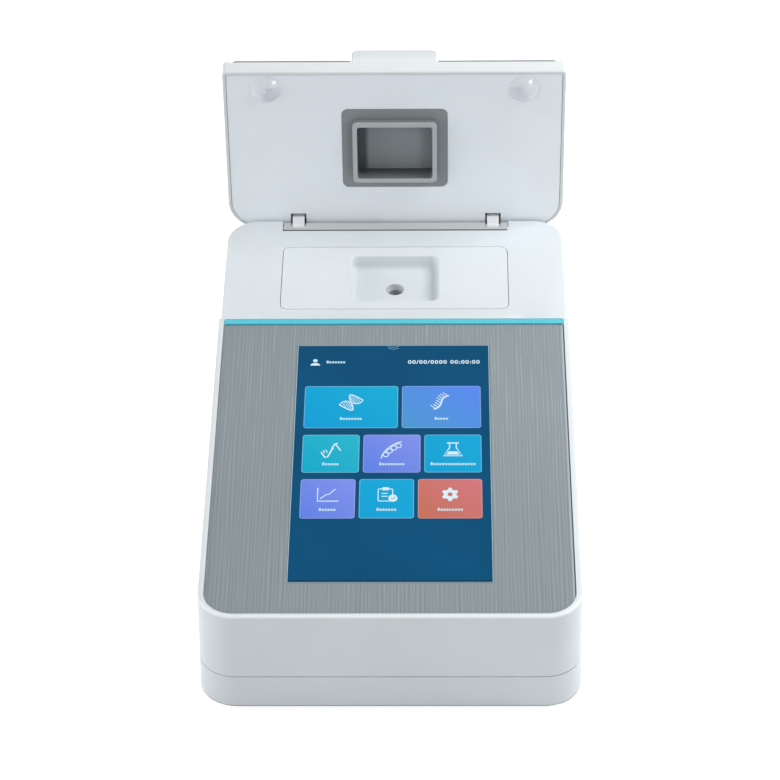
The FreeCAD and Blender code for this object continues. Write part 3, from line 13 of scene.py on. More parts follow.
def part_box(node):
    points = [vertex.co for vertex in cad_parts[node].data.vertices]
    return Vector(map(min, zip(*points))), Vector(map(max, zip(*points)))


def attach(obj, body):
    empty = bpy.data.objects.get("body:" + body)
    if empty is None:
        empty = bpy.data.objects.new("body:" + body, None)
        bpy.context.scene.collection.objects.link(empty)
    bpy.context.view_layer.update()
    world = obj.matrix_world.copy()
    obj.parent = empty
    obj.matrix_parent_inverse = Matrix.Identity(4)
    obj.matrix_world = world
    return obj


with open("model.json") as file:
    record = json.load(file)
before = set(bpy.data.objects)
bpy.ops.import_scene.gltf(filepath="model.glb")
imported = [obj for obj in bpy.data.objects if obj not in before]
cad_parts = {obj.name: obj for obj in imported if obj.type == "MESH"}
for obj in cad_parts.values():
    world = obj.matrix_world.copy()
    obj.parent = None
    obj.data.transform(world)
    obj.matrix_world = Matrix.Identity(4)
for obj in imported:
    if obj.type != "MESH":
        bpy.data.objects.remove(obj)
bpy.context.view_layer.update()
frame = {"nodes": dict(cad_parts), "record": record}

MM = 0.001
SLOPE = math.radians(2.0)    # of the front panel and the screen
SMOOTH_ANGLE = math.radians(32)
WELD = 0.005 * MM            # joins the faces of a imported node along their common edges


# ================================================================ colours and nodes
WHITE = (1.0, 1.0, 1.0, 1.0)
NOISE_LOW, NOISE_HIGH = 0.3, 0.7     # most of a noise texture's values lie between these
WAVE_TURN = 0.314            # length of a band of the wave texture at scale 1
BUMP_STRENGTH = 0.5
EVEN = (1.0, 1.0, 1.0)       # texture scales along X, Y and Z; a low one draws features out


def colour(red, green, blue):
    """A screen colour, 0 to 255 each, as the linear colour that shader sockets take.

    The numbers below are those of the sRGB curve.
    """
    linear = []
    for value in (red, green, blue):
        share = value / 255
        linear.append(share / 12.92 if share <= 0.04045 else ((share + 0.055) / 1.055) ** 2.4)
    return (*linear, 1.0)


def scaled(tint, factor):
    """A linear colour made lighter or darker."""
    return (*(min(1.0, part * factor) for part in tint[:3]), 1.0)


def paler(tint, share):
    """A linear colour with a share of white in it."""
    return (*(part + (1 - part) * share for part in tint[:3]), 1.0)


def fill(node, sockets):
    """Sets a node's own socket values; underscores stand for the spaces in a socket's name."""
    for socket, value in sockets.items():
        node.inputs[socket.replace("_", " ")].default_value = value


class Finish:
    """One material: its principled shader, and short ways to drive that shader's sockets."""

    def __init__(self, name, **sockets):
        self.material = bpy.data.materials.new(name)
        self.material.use_nodes = True
        self.tree = self.material.node_tree
        self.shader = self.tree.nodes["Principled BSDF"]
        fill(self.shader, sockets)

    def node(self, kind, **sockets):
        """A new node of the material."""
        node = self.tree.nodes.new("ShaderNode" + kind)
        fill(node, sockets)
        return node

    def link(self, output, target):
        """Joins an output to an input."""
        self.tree.links.new(output, target)

    def drive(self, output, socket):
        """Joins an output to one of the shader's sockets."""
        self.link(output, self.shader.inputs[socket])

    def place(self, stretch=EVEN):
        """The object's own coordinates, stretched along each axis."""
        coordinates = self.node("TexCoord")
        mapping = self.node("Mapping", Scale=stretch)
        self.link(coordinates.outputs["Object"], mapping.inputs["Vector"])
        return mapping.outputs["Vector"]

    def noise(self, size, detail=2.0, stretch=EVEN):
        """Noise with features about size metres across."""
        noise = self.node("TexNoise", Scale=1.0 / size, Detail=detail)
        self.link(self.place(stretch), noise.inputs["Vector"])
        return noise.outputs["Fac"]

    def waves(self, pitch, distortion, size, stretch):
        """Even bands across X, pushed aside by noise with features about size metres across."""
        scale = WAVE_TURN / pitch
        bands = self.node(
            "TexWave", Scale=scale, Distortion=distortion, Detail=0.0, Detail_Scale=1 / (size * scale)
        )
        self.link(self.place(stretch), bands.inputs["Vector"])
        return bands.outputs["Fac"]

    def spread(self, factor, low, high):
        """Low to high as a factor goes through the range that most noise lies in."""
        ramp = self.node("MapRange", From_Min=NOISE_LOW, From_Max=NOISE_HIGH, To_Min=low, To_Max=high)
        self.link(factor, ramp.inputs["Value"])
        return ramp.outputs["Result"]

    def between(self, value, start, end):
        """0 where a value is start, and 1 where it is end."""
        ramp = self.node("MapRange", From_Min=start, From_Max=end)
        self.link(value, ramp.inputs["Value"])
        return ramp.outputs["Result"]

    def blend(self, factor, first, second):
        """Colour that goes with a factor from a plain one to another, plain or a node's output."""
        mix = self.node("Mix")
        mix.data_type = "RGBA"
        mix.inputs["A"].default_value = first
        if isinstance(second, tuple):
            mix.inputs["B"].default_value = second
        else:
            self.link(second, mix.inputs["B"])
        self.link(factor, mix.inputs["Factor"])
        return mix.outputs["Result"]

    def math(self, operation, first, second=None):
        """Result of a sum on one or two node outputs."""
        node = self.node("Math")
        node.operation = operation
        self.link(first, node.inputs[0])
        if second is not None:
            self.link(second, node.inputs[1])
        return node.outputs["Value"]

    def part_of(self, source, axis):
        """One coordinate of the object's own place, box or normal."""
        coordinates = self.node("TexCoord")
        parts = self.node("SeparateXYZ")
        self.link(coordinates.outputs[source], parts.inputs["Vector"])
        return parts.outputs[axis]

    def near(self, axis, edge, run):
        """1 up to run's first distance from an edge along an axis, and 0 from its second on."""
        full, gone = run
        return self.between(self.part_of("Object", axis), edge + gone, edge + full)

    def facing(self, axis, start, end):
        """0 where the size of the normal's part along an axis is start, and 1 where it is end."""
        return self.between(self.math("ABSOLUTE", self.part_of("Normal", axis)), start, end)

    def painted(self, under, tint, *covers):
        """A colour over another node's: whole where all covers are 1, and none where one is 0."""
        cover = covers[0]
        for other in covers[1:]:
            cover = self.math("MULTIPLY", cover, other)
        return self.blend(self.between(cover, 1.0, 0.0), tint, under)

    def mottled(self, tint, amount, size):
        """Faint uneven colour round a tint."""
        shades = scaled(tint, 1 - amount), scaled(tint, 1 + amount)
        return self.blend(self.spread(self.noise(size), 0.0, 1.0), *shades)

    def mottle(self, tint, amount, size):
        """Gives the whole surface a faint uneven colour."""
        self.drive(self.mottled(tint, amount, size), "Base Color")

    def uneven_gloss(self, low, high, size):
        """Roughness between low and high, in patches about size metres across."""
        self.drive(self.spread(self.noise(size, detail=4.0), low, high), "Roughness")

    def relief(self, size, height, stretch=EVEN):
        """Fine surface relief with features about size across and height deep."""
        bump = self.node("Bump", Strength=BUMP_STRENGTH, Distance=height)
        self.link(self.noise(size, detail=3.0, stretch=stretch), bump.inputs["Height"])
        self.drive(bump.outputs["Normal"], "Normal")


# ================================================================ finishes
GRAIN, GRAIN_DEPTH = 0.35 * MM, 0.02 * MM    # spark-eroded texture of moulded parts
BRUSH_PITCH = 1.6 * MM       # spacing of the brushed lines
BRUSH_PUSH = 4.0             # how far, in radians, noise pushes them aside
BRUSH_RUN = 4.0 * MM         # and over which run
BRUSH_FINE = 0.4 * MM        # finer scratches among them
BRUSH_PATCH = 2.4 * MM       # where the lines are stronger and fainter
BRUSH_BACK_LIGHT = 0.2             # painted light: how much further the sheet's back goes towards the pale colour
BRUSH_STRETCH = (1.0, 0.004, 0.004)
WAVE_STRETCH = (1.0, 0.05, 0.05)
PATCH_STRETCH = (1.0, 0.08, 0.08)
TURN_STRETCH = (1.0, 1.0, 0.1)       # of the marks that turning leaves on metal

CASING = colour(222, 229, 233)
SHEET_DARK, SHEET_PALE, SHEET_GREY = colour(127, 137, 141), colour(163, 173, 177), colour(138, 148, 153)
# the seal's grey, and the painted shade that its hollow's walls go to with depth
SEAL_PALE, SEAL_WALL_SHADE = colour(140, 145, 147), colour(30, 32, 34)

# Painted light and shade, and the darker cut edges of the sheet: a colour, and its run, which
# says at which distance from an edge of the node's box it is still whole and at which it is
# gone. Negative ones lie below, in front of or left of the edge.
# painted shade low on the base's outer walls, and its run above the base's foot
BASE_SHADE, BASE_LINE_RUN = colour(88, 91, 93), (0.6 * MM, 0.85 * MM)
# painted shade on the sample pocket's floor, below the deck
POCKET_SHADE, POCKET_RUN = colour(221, 228, 230), (-6 * MM, -0.5 * MM)
# painted shade on the finger tab, darker towards its end
TAB_SHADE, TAB_RUN = colour(200, 205, 207), (0.0, -9 * MM)
# painted highlight on the rounded edge above the casing's front wall
RIM_LIGHT, RIM_RUN = colour(242, 248, 251), (10 * MM, 30 * MM)
# painted shade along the hinge bar's front edge
BAR_SHADE, BAR_LINE_RUN = colour(86, 90, 92), (0.3 * MM, 0.5 * MM)
# painted highlight on the sheet's right bevel, and painted shade in the gap beside it
SHEET_BEVEL_HIGHLIGHT, SHEET_RIM_RUN = colour(182, 193, 198), (-0.6 * MM, -1.5 * MM)
SHEET_GAP_SHADE, SHEET_GAP_RUN = colour(104, 109, 113), (-0.35 * MM, -0.5 * MM)
SHEET_EDGE = colour(120, 124, 127)
# painted highlight on the collar's end, and painted shadow on the left of its hollow's floor
SEAL_END_HIGHLIGHT, SEAL_END_RUN = colour(180, 184, 186), (0.9 * MM, 1.1 * MM)
SEAL_SHADE = colour(78, 83, 87)
SEAL_FLOOR_RUN, SEAL_LEFT_RUN = (7 * MM, 5 * MM), (10.5 * MM, 12.5 * MM)


def moulded(name, tint, gloss=(0.34, 0.46), paint=None):
    """Moulded plastic with a fine eroded grain.

    paint, if given, gets the finish and its plain colour, and returns the colour to use; each one used here
    lays painted light or shade over it.
    """
    finish = Finish(name)
    plain = finish.mottled(tint, amount=0.012, size=18 * MM)
    finish.drive(paint(finish, plain) if paint else plain, "Base Color")
    finish.uneven_gloss(*gloss, size=6 * MM)
    finish.relief(GRAIN, GRAIN_DEPTH)
    return finish.material


def base_shade_line(finish, plain):
    """Painted shade: dark line low on the base's outer walls, where it stands in its own shade."""
    foot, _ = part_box("base_tray")
    upright = finish.facing("Z", start=0.95, end=0.8)
    return finish.painted(plain, BASE_SHADE, finish.near("Z", foot.z, BASE_LINE_RUN), upright)


def pocket_shade(finish, plain):
    """Painted shade in the sample pocket: its floor a little darker than the deck."""
    _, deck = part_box("deck_plate")
    return finish.painted(plain, POCKET_SHADE, finish.near("Z", deck.z, POCKET_RUN))


def tab_shade(finish, plain):
    """Painted shade on the finger tab, darker towards its end."""
    _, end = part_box("lid_shell")
    return finish.painted(plain, TAB_SHADE, finish.near("Y", end.y, TAB_RUN))


def rim_light(finish, plain):
    """Painted highlight on the rounded edge above the casing's front wall, paler than the wall."""
    panel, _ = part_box("front_panel")
    front = finish.near("Y", panel.y, RIM_RUN)
    up, forward = finish.facing("Z", start=0.15, end=0.5), finish.facing("Y", start=0.05, end=0.3)
    return finish.painted(plain, RIM_LIGHT, front, up, forward)


def bar_shade_line(finish, plain):
    """Painted shade: dark line along the hinge bar's front edge, where it enters the deck."""
    bar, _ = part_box("hinge_bar")
    return finish.painted(plain, BAR_SHADE, finish.near("Y", bar.y, BAR_LINE_RUN))


def rubber(name, tint):
    """Dull rubber."""
    finish = Finish(name, Specular_IOR_Level=0.35)
    finish.mottle(tint, amount=0.05, size=3 * MM)
    finish.uneven_gloss(0.55, 0.75, size=2 * MM)
    finish.relief(0.5 * MM, height=0.03 * MM)
    return finish.material


def seal(name, node):
    """Grey rubber collar: its end carries a painted highlight, its hollow's walls carry painted shade
    that deepens with their depth, and a painted shadow lies on the left of its hollow's floor.
    """
    finish = Finish(name, Specular_IOR_Level=0.35)
    low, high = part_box(node)
    # painted shade: the hollow's walls go darker with their depth
    depth = finish.between(finish.part_of("Object", "Y"), low.y, high.y)
    wall = finish.facing("Y", start=0.8, end=0.4)
    body = finish.blend(finish.math("MULTIPLY", depth, wall), SEAL_PALE, SEAL_WALL_SHADE)
    # painted shadow on the left of the hollow's floor
    floor, left = finish.near("Y", low.y, SEAL_FLOOR_RUN), finish.near("X", low.x, SEAL_LEFT_RUN)
    body = finish.painted(body, SEAL_SHADE, floor, left)
    # painted highlight on the collar's end
    body = finish.painted(body, SEAL_END_HIGHLIGHT, finish.near("Y", low.y, SEAL_END_RUN))
    finish.drive(body, "Base Color")
    finish.uneven_gloss(0.5, 0.65, size=2 * MM)
    finish.relief(0.5 * MM, height=0.02 * MM)
    return finish.material


def metal(name, tint, gloss=(0.22, 0.38), share=1.0):
    """Machined, plated or, with a smaller metallic share, anodised metal with turning marks."""
    finish = Finish(name, Metallic=share)
    finish.mottle(tint, amount=0.06, size=2 * MM)
    finish.uneven_gloss(*gloss, size=1.2 * MM)
    finish.relief(0.2 * MM, height=0.01 * MM, stretch=TURN_STRETCH)
    return finish.material


def brushed_sheet(name, face_axis, node):
    """Grey sheet with even lines brushed from the front to the back, and dark cut edges.

    face_axis is the axis that the sheet's faces look along. The lines come and go along the
    sheet, with painted light that makes it paler towards the back. Its right edge has a painted
    highlight on a pale bevel beside painted shade in a dark gap.
    """
    finish = Finish(name, Metallic=0.08, Anisotropic=0.5, Specular_IOR_Level=0.2)
    low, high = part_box(node)
    fine = finish.noise(BRUSH_FINE, detail=1.0, stretch=BRUSH_STRETCH)
    bands = finish.waves(BRUSH_PITCH, BRUSH_PUSH, BRUSH_RUN, stretch=WAVE_STRETCH)
    # painted light: the sheet gets paler towards its back
    along = finish.between(finish.part_of("Object", "Y"), low.y, high.y)
    rise = finish.spread(along, 0.0, BRUSH_BACK_LIGHT)
    share = finish.math("ADD", finish.math("MULTIPLY", fine, bands), rise)
    lines = finish.blend(share, SHEET_DARK, SHEET_PALE)
    patches = finish.noise(BRUSH_PATCH, detail=1.0, stretch=PATCH_STRETCH)
    sheet = finish.blend(finish.spread(patches, 0.1, 1.0), SHEET_GREY, lines)
    # painted highlight on the right edge's pale bevel, and painted shade in the dark gap beside it
    sheet = finish.painted(sheet, SHEET_BEVEL_HIGHLIGHT, finish.near("X", high.x, SHEET_RIM_RUN))
    sheet = finish.painted(sheet, SHEET_GAP_SHADE, finish.near("X", high.x, SHEET_GAP_RUN))
    sheet = finish.painted(sheet, SHEET_EDGE, finish.facing(face_axis, start=0.8, end=0.4))
    finish.drive(sheet, "Base Color")
    finish.drive(finish.spread(fine, 0.38, 0.52), "Roughness")
    finish.relief(BRUSH_FINE, height=0.02 * MM, stretch=BRUSH_STRETCH)
    return finish.material


def gloss_strip(name, tint):
    """Glossy coloured plastic."""
    finish = Finish(name, Coat_Weight=0.4, Coat_Roughness=0.15)
    finish.mottle(tint, amount=0.02, size=40 * MM)
    finish.uneven_gloss(0.3, 0.38, size=30 * MM)
    return finish.material


def clear_dome(name, tint):
    """Soft milky elastomer with a smooth skin."""
    milk = {"Subsurface_Weight": 0.3, "Subsurface_Radius": (2 * MM, 2 * MM, 2 * MM)}
    finish = Finish(name, Coat_Weight=0.9, Coat_Roughness=0.06, **milk)
    finish.mottle(tint, amount=0.015, size=5 * MM)
    finish.uneven_gloss(0.18, 0.26, size=6 * MM)
    return finish.material


def lit(name, unlit, roughness):
    """A glossy surface that glows at full strength, over the colour it has unlit."""
    return Finish(
        name, Base_Color=unlit, Roughness=roughness, Specular_IOR_Level=0.04, Emission_Strength=1.0
    )


def lit_glass(name, tint):
    """Touch glass over the lit display: its own glow under a faint gloss."""
    finish = lit(name, colour(2, 4, 8), roughness=0.08)
    factor = finish.spread(finish.noise(45 * MM), 0.0, 1.0)
    finish.drive(finish.blend(factor, scaled(tint, 0.9), scaled(tint, 1.08)), "Emission Color")
    return finish.material


def tinted_glass(name, tint):
    """Clear coloured glass."""
    finish = Finish(name, Transmission_Weight=0.8, IOR=1.52)
    finish.mottle(tint, amount=0.03, size=2 * MM)
    finish.uneven_gloss(0.02, 0.06, size=1 * MM)
    return finish.material


def circuit_board(name, tint):
    """Solder mask with faint darker tracks."""
    finish = Finish(name, Coat_Weight=0.3)
    shades = {"Color1": tint, "Color2": scaled(tint, 1.15), "Mortar": scaled(tint, 0.6)}
    tracks = finish.node("TexBrick", Scale=1 / (9 * MM), **shades)
    finish.link(finish.place(), tracks.inputs["Vector"])
    finish.drive(tracks.outputs["Color"], "Base Color")
    finish.uneven_gloss(0.35, 0.5, size=3 * MM)
    return finish.material


# maker, colour and other settings of every slot in the record but the brushed sheet and the seal
SLOTS = {
    "casing_white": (moulded, CASING, {"paint": rim_light}),
    "lid_white": (moulded, colour(218, 223, 225), {"paint": tab_shade}),
    "deck_white": (moulded, colour(225, 232, 236), {"paint": pocket_shade}),
    "liner_grey": (moulded, colour(241, 247, 252), {"gloss": (0.4, 0.52)}),
    "accent_cyan": (gloss_strip, colour(70, 198, 216), {}),
    "screen_glass": (lit_glass, colour(4, 79, 120), {}),
    "display_dark": (moulded, colour(34, 36, 40), {}),
    "bracket_steel": (metal, colour(176, 180, 184), {}),
    "screw_steel": (metal, colour(190, 192, 194), {}),
    "pin_steel": (metal, colour(200, 202, 204), {"gloss": (0.15, 0.28)}),
    "holder_metal": (metal, colour(196, 199, 202), {"gloss": (0.4, 0.5), "share": 0.3}),
    "block_black": (moulded, colour(28, 29, 31), {"gloss": (0.5, 0.65)}),
    "filter_blue": (tinted_glass, colour(60, 110, 220), {}),
    "filter_orange": (tinted_glass, colour(235, 130, 40), {}),
    "light_board": (circuit_board, colour(205, 208, 210), {}),
    "board_green": (circuit_board, colour(34, 96, 58), {}),
    "jack_black": (moulded, colour(30, 31, 33), {}),
    "port_metal": (metal, colour(196, 198, 200), {}),
    "switch_black": (moulded, colour(32, 33, 35), {}),
    "rocker_black": (moulded, colour(38, 39, 42), {"gloss": (0.28, 0.4)}),
    "hinge_grey": (moulded, colour(196, 199, 199), {"paint": bar_shade_line}),
    "arm_grey": (moulded, colour(240, 242, 244), {}),
    "foot_rubber": (rubber, colour(40, 41, 43), {}),
    "bumper_rubber": (clear_dome, colour(218, 223, 229), {}),
    "magnet_metal": (metal, colour(186, 188, 190), {}),
}


def dress(node, material):
    """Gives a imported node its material, and shades it smooth across its shallow edges."""
    part = frame["nodes"][node]
    part.data.materials.clear()
    part.data.materials.append(material)
    for face in part.data.polygons:
        face.material_index = 0
        face.use_smooth = True
    weld = part.modifiers.new("join_faces", "WELD")
    weld.merge_threshold = WELD
    split = part.modifiers.new("keep_corners", "EDGE_SPLIT")
    split.split_angle = SMOOTH_ANGLE


def dress_frame():
    """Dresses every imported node: four in a material of their own, the others in their slot's."""
    own = {
        "base_tray": moulded("base_white", CASING, paint=base_shade_line),
        "front_panel": brushed_sheet("brushed_sheet", "Z", "front_panel"),
        "lid_top_panel": brushed_sheet("brushed_sheet_lid", "Y", "lid_top_panel"),
        "light_shield": seal("seal_grey", "light_shield"),
    }
    shared = {slot: maker(slot, tint, **more) for slot, (maker, tint, more) in SLOTS.items()}
    for subpart in frame["record"]["subparts"]:
        node = subpart["node"]
        dress(node, own[node] if node in own else shared[subpart["material_slot"]])


# ================================================================ drawing on the screen
LAYER = 0.06 * MM            # thickness of each printed-looking layer
LIFT = 0.03 * MM             # and its distance from the layer below
ARC_STEPS, CIRCLE_STEPS = 8, 28


def screen_place():
    """Matrix from the screen's own plane, with its origin at the front left, to the frame, and
    the screen's width and length.
    """
    low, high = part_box("touch_glass")
    across, up = high.y - low.y, high.z - low.z
    length = (across * math.cos(SLOPE) - up * math.sin(SLOPE)) / math.cos(2 * SLOPE)
    corner = Vector((low.x, low.y, high.z - length * math.sin(SLOPE)))
    return Matrix.Translation(corner) @ Matrix.Rotation(SLOPE, 4, "X"), high.x - low.x, length


def rounded_outline(x0, y0, x1, y1, radius):
    """Corners of a rounded rectangle, counter-clockwise."""
    points = []
    centres = ((x1 - radius, y1 - radius), (x0 + radius, y1 - radius))
    centres += ((x0 + radius, y0 + radius), (x1 - radius, y0 + radius))
    for quarter, (x, y) in enumerate(centres):
        for step in range(ARC_STEPS + 1):
            angle = (quarter + step / ARC_STEPS) * math.pi / 2
            points.append((x + radius * math.cos(angle), y + radius * math.sin(angle)))
    return points


def circle(x, y, radius, steps=CIRCLE_STEPS):
    """Corners of a circle, counter-clockwise."""
    turn = 2 * math.pi / steps
    return [(x + radius * math.cos(turn * k), y + radius * math.sin(turn * k)) for k in range(steps)]


def ribbon(points, width, closed=False):
    """Outline quads that follow a line with an even width."""
    count = len(points)
    sides = []
    for index, (x, y) in enumerate(points):
        before = points[index - 1] if index or closed else points[0]
        after = points[(index + 1) % count] if index < count - 1 or closed else points[-1]
        along = Vector((after[0] - before[0], after[1] - before[1])).normalized()
        offset = Vector((-along.y, along.x)) * width / 2
        sides.append(((x + offset.x, y + offset.y), (x - offset.x, y - offset.y)))
    pairs = zip(sides, sides[1:] + sides[:1]) if closed else zip(sides, sides[1:])
    return [[a_right, b_right, b_left, a_left] for (a_left, a_right), (b_left, b_right) in pairs]


def flat_mesh(name, outlines):
    """Thin plates, one for each outline, joined in a mesh."""
    mesh = bpy.data.meshes.new(name)
    work = bmesh.new()
    for outline in outlines:
        corners = [work.verts.new((x, y, 0)) for x, y in outline]
        work.faces.new(corners)
    bmesh.ops.remove_doubles(work, verts=work.verts, dist=WELD)
    bmesh.ops.recalc_face_normals(work, faces=work.faces)
    raised = bmesh.ops.extrude_face_region(work, geom=work.faces[:])
    top = [item for item in raised["geom"] if isinstance(item, bmesh.types.BMVert)]
    bmesh.ops.translate(work, verts=top, vec=(0, 0, LAYER))
    bmesh.ops.recalc_face_normals(work, faces=work.faces)
    work.to_mesh(mesh)
    work.free()
    return mesh


def glow(name, first, second=None):
    """Lit picture area; with two colours it runs from one corner of its box to the other."""
    finish = lit(name, colour(4, 6, 8), roughness=0.1)
    corner_sum = finish.math("ADD", *(finish.part_of("Generated", axis) for axis in "XY"))
    diagonal = finish.between(corner_sum, 0.0, 2.0)
    finish.drive(finish.blend(diagonal, first, second or scaled(first, 0.96)), "Emission Color")
    return finish.material


class Screen:
    """The touch screen's picture, laid in thin layers on the glass."""

    def __init__(self):
        self.matrix, self.width, self.length = screen_place()
        self.white = glow("screen_white", colour(220, 241, 250))
        self.pale = glow("screen_pale", colour(196, 226, 240))
        # painted highlight on the glass's edge, drawn as a pale glowing strip
        self.edge = glow("screen_edge_highlight", colour(178, 200, 208))
        self.shade = glow("screen_shade", colour(16, 62, 84))

    def lay(self, name, mesh, material, place):
        """Puts a mesh at a place in the screen's own plane."""
        mesh.materials.clear()
        mesh.materials.append(material)
        piece = bpy.data.objects.new(name, mesh)
        bpy.context.scene.collection.objects.link(piece)
        piece.matrix_world = self.matrix @ Matrix.Translation(place)
        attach(piece, "housing")

    def add(self, name, outlines, material, level=1):
        """Lays plates on the screen; level 1 lies on the glass, 2 on a tile, 3 on a pictogram."""
        height = LIFT + (level - 1) * (LAYER + LIFT)
        self.lay(name, flat_mesh(name, outlines), material, (0, 0, height))


# ================================================================ pictograms
# Each is drawn round the origin, with its size as the unit.
ICON_SIZE = 7.2 * MM
ICON_TALL = 1.16             # its length along the screen over its width
STROKE = 0.5 * MM / ICON_SIZE        # width of an even line; some lines are thicker or thinner
WAVE_STEPS = 24
HELIX_TILT, COMB_TILT = math.radians(14), math.radians(50)
HELIX_LENGTH, HELIX_SKEW = 1.5, 0.45
STEEP_HEIGHT, SHALLOW_HEIGHT = 0.62, 0.2
LEAST_RUNG = 0.4             # a lower one isn't drawn
COMB_LENGTH, COMB_HEIGHT, COMB_TOOTH = 1.45, 0.12, 0.4
HELIX_RUNGS, COMB_TEETH = slice(3, None, 2), slice(2, None, 3)   # points of the wave that have one
RING_RADIUS, RING_STEPS = 0.17, 12
GEAR_TEETH = 6
PITCH_STEPS, TIP_STEPS = 8, (2, 3, 4, 5)     # steps from tooth to tooth, and those on a tooth's tip
GEAR_TIP, GEAR_ROOT, GEAR_HOLE = 0.5, 0.38, 0.15     # radii


def placed(plates, x, y, size, tall=1.0):
    """A pictogram's plates, scaled and moved to their place on the screen."""
    return [[(x + size * px, y + size * tall * py) for px, py in plate] for plate in plates]


def turned(points, angle):
    """Points turned about the origin."""
    cos, sin = math.cos(angle), math.sin(angle)
    return [(x * cos - y * sin, x * sin + y * cos) for x, y in points]


def wave(length, height, phase=0.0):
    """One turn of a sine line along X, centred on the origin."""
    shares = [step / WAVE_STEPS for step in range(WAVE_STEPS + 1)]
    return [(length * (share - 0.5), height * math.sin(2 * math.pi * share + phase)) for share in shares]


def icon_helix():
    """Two crossed strands, one steep and one shallow, with rungs between them."""
    steep = wave(HELIX_LENGTH, STEEP_HEIGHT, phase=math.pi)
    steep = [(x - HELIX_SKEW * y, y) for x, y in steep]
    shallow = wave(HELIX_LENGTH, SHALLOW_HEIGHT)
    plates = ribbon(turned(steep, HELIX_TILT), STROKE)
    plates += ribbon(turned(shallow, HELIX_TILT), 0.7 * STROKE)
    for low, high in list(zip(steep, shallow))[HELIX_RUNGS]:
        if abs(low[1] - high[1]) > LEAST_RUNG:
            plates += ribbon(turned([low, high], HELIX_TILT), 0.5 * STROKE)
    return plates


def icon_comb():
    """One strand with teeth along its upper side."""
    strand = wave(COMB_LENGTH, COMB_HEIGHT, phase=math.pi)
    plates = ribbon(turned(strand, COMB_TILT), 1.3 * STROKE)
    for x, y in strand[COMB_TEETH]:
        plates += ribbon(turned([(x, y), (x, y + COMB_TOOTH)], COMB_TILT), 0.7 * STROKE)
    return plates


def icon_zigzag():
    """Short strand that turns twice, with small teeth inside its turns."""
    strand = [(-0.58, -0.2), (-0.34, -0.62), (-0.18, -0.56), (-0.04, -0.26)]
    strand += [(0.1, 0.14), (0.2, 0.4), (0.4, 0.5)]
    tail = [(0.26, 0.42), (0.6, -0.08)]
    plates = ribbon(strand, 1.2 * STROKE) + ribbon(tail, 1.1 * STROKE)
    for x, y in ((-0.36, -0.26), (-0.2, -0.24), (0.16, 0.0)):
        plates += ribbon([(x, y), (x - 0.1, y + 0.22)], 0.8 * STROKE)
    return plates


def icon_coil():
    """Rings strung under a rising arch."""
    arch = [(-0.64, -0.7), (-0.56, -0.4), (-0.36, -0.06), (-0.08, 0.26), (0.24, 0.48), (0.6, 0.62)]
    plates = ribbon(arch, 0.9 * STROKE)
    for x, y in ((-0.36, -0.4), (-0.14, -0.12), (0.12, 0.12), (0.4, 0.3)):
        plates += ribbon(circle(x, y, RING_RADIUS, RING_STEPS), 0.8 * STROKE, closed=True)
    return plates


def icon_flask():
    """Conical flask with liquid in it."""
    body = [(-0.2, 0.5), (-0.2, 0.12), (-0.56, -0.5), (0.56, -0.5), (0.2, 0.12), (0.2, 0.5)]
    lip = [(-0.36, 0.5), (0.36, 0.5)]
    liquid = [(-0.4, -0.4), (0.4, -0.4), (0.26, -0.16), (-0.26, -0.16)]
    return ribbon(body, STROKE) + ribbon(lip, 1.2 * STROKE) + [liquid]


def icon_chart():
    """Two axes and a rising line."""
    axes = [(-0.6, 0.5), (-0.6, -0.5), (0.65, -0.5)]
    line = [(-0.45, -0.32), (-0.1, -0.02), (0.08, 0.02), (0.45, 0.42)]
    return ribbon(axes, STROKE) + ribbon(line, 0.8 * STROKE)


def icon_clipboard():
    """Clipboard with two written lines and a round badge."""
    board = rounded_outline(-0.5, -0.5, 0.36, 0.42, radius=0.08)
    clip = rounded_outline(-0.26, 0.32, 0.14, 0.54, radius=0.05)
    plates = ribbon(board, 0.8 * STROKE, closed=True) + [clip]
    for height in (0.08, -0.14):
        plates += ribbon([(-0.3, height), (0.06, height)], 0.8 * STROKE)
    return plates + [circle(0.38, -0.28, radius=0.27)]


def tick():
    """Tick on the clipboard's badge."""
    return ribbon([(0.25, -0.28), (0.35, -0.38), (0.53, -0.19)], 0.7 * STROKE)


def icon_gear():
    """Cog wheel with a round hole, as quads between its outer and inner outlines."""
    steps = PITCH_STEPS * GEAR_TEETH
    outer, inner = [], []
    for step in range(steps):
        angle = 2 * math.pi * (step + 0.5) / steps
        reach = GEAR_TIP if step % PITCH_STEPS in TIP_STEPS else GEAR_ROOT
        outer.append((reach * math.cos(angle), reach * math.sin(angle)))
        inner.append((GEAR_HOLE * math.cos(angle), GEAR_HOLE * math.sin(angle)))
    following = outer[1:] + outer[:1], inner[1:] + inner[:1]
    return [list(quad) for quad in zip(outer, following[0], following[1], inner)]


def icon_person():
    """Round head over rounded shoulders, as for any signed-in user."""
    turn = math.pi / ARC_STEPS
    shoulders = [
        (0.42 * math.cos(turn * k), 0.34 * math.sin(turn * k) - 0.42) for k in range(ARC_STEPS + 1)
    ]
    return [circle(0.0, 0.22, radius=0.2), shoulders]


# ================================================================ the screen's picture
MARGIN = 4.3 * MM            # glass left and right of the tiles
TILE_GAP = 2.0 * MM          # between two tiles of a row
TILE_RADIUS = 1.2 * MM
TILE_RIM, RIM_WHITE = 0.32 * MM, 0.16    # the rim's width, and the share of white in it
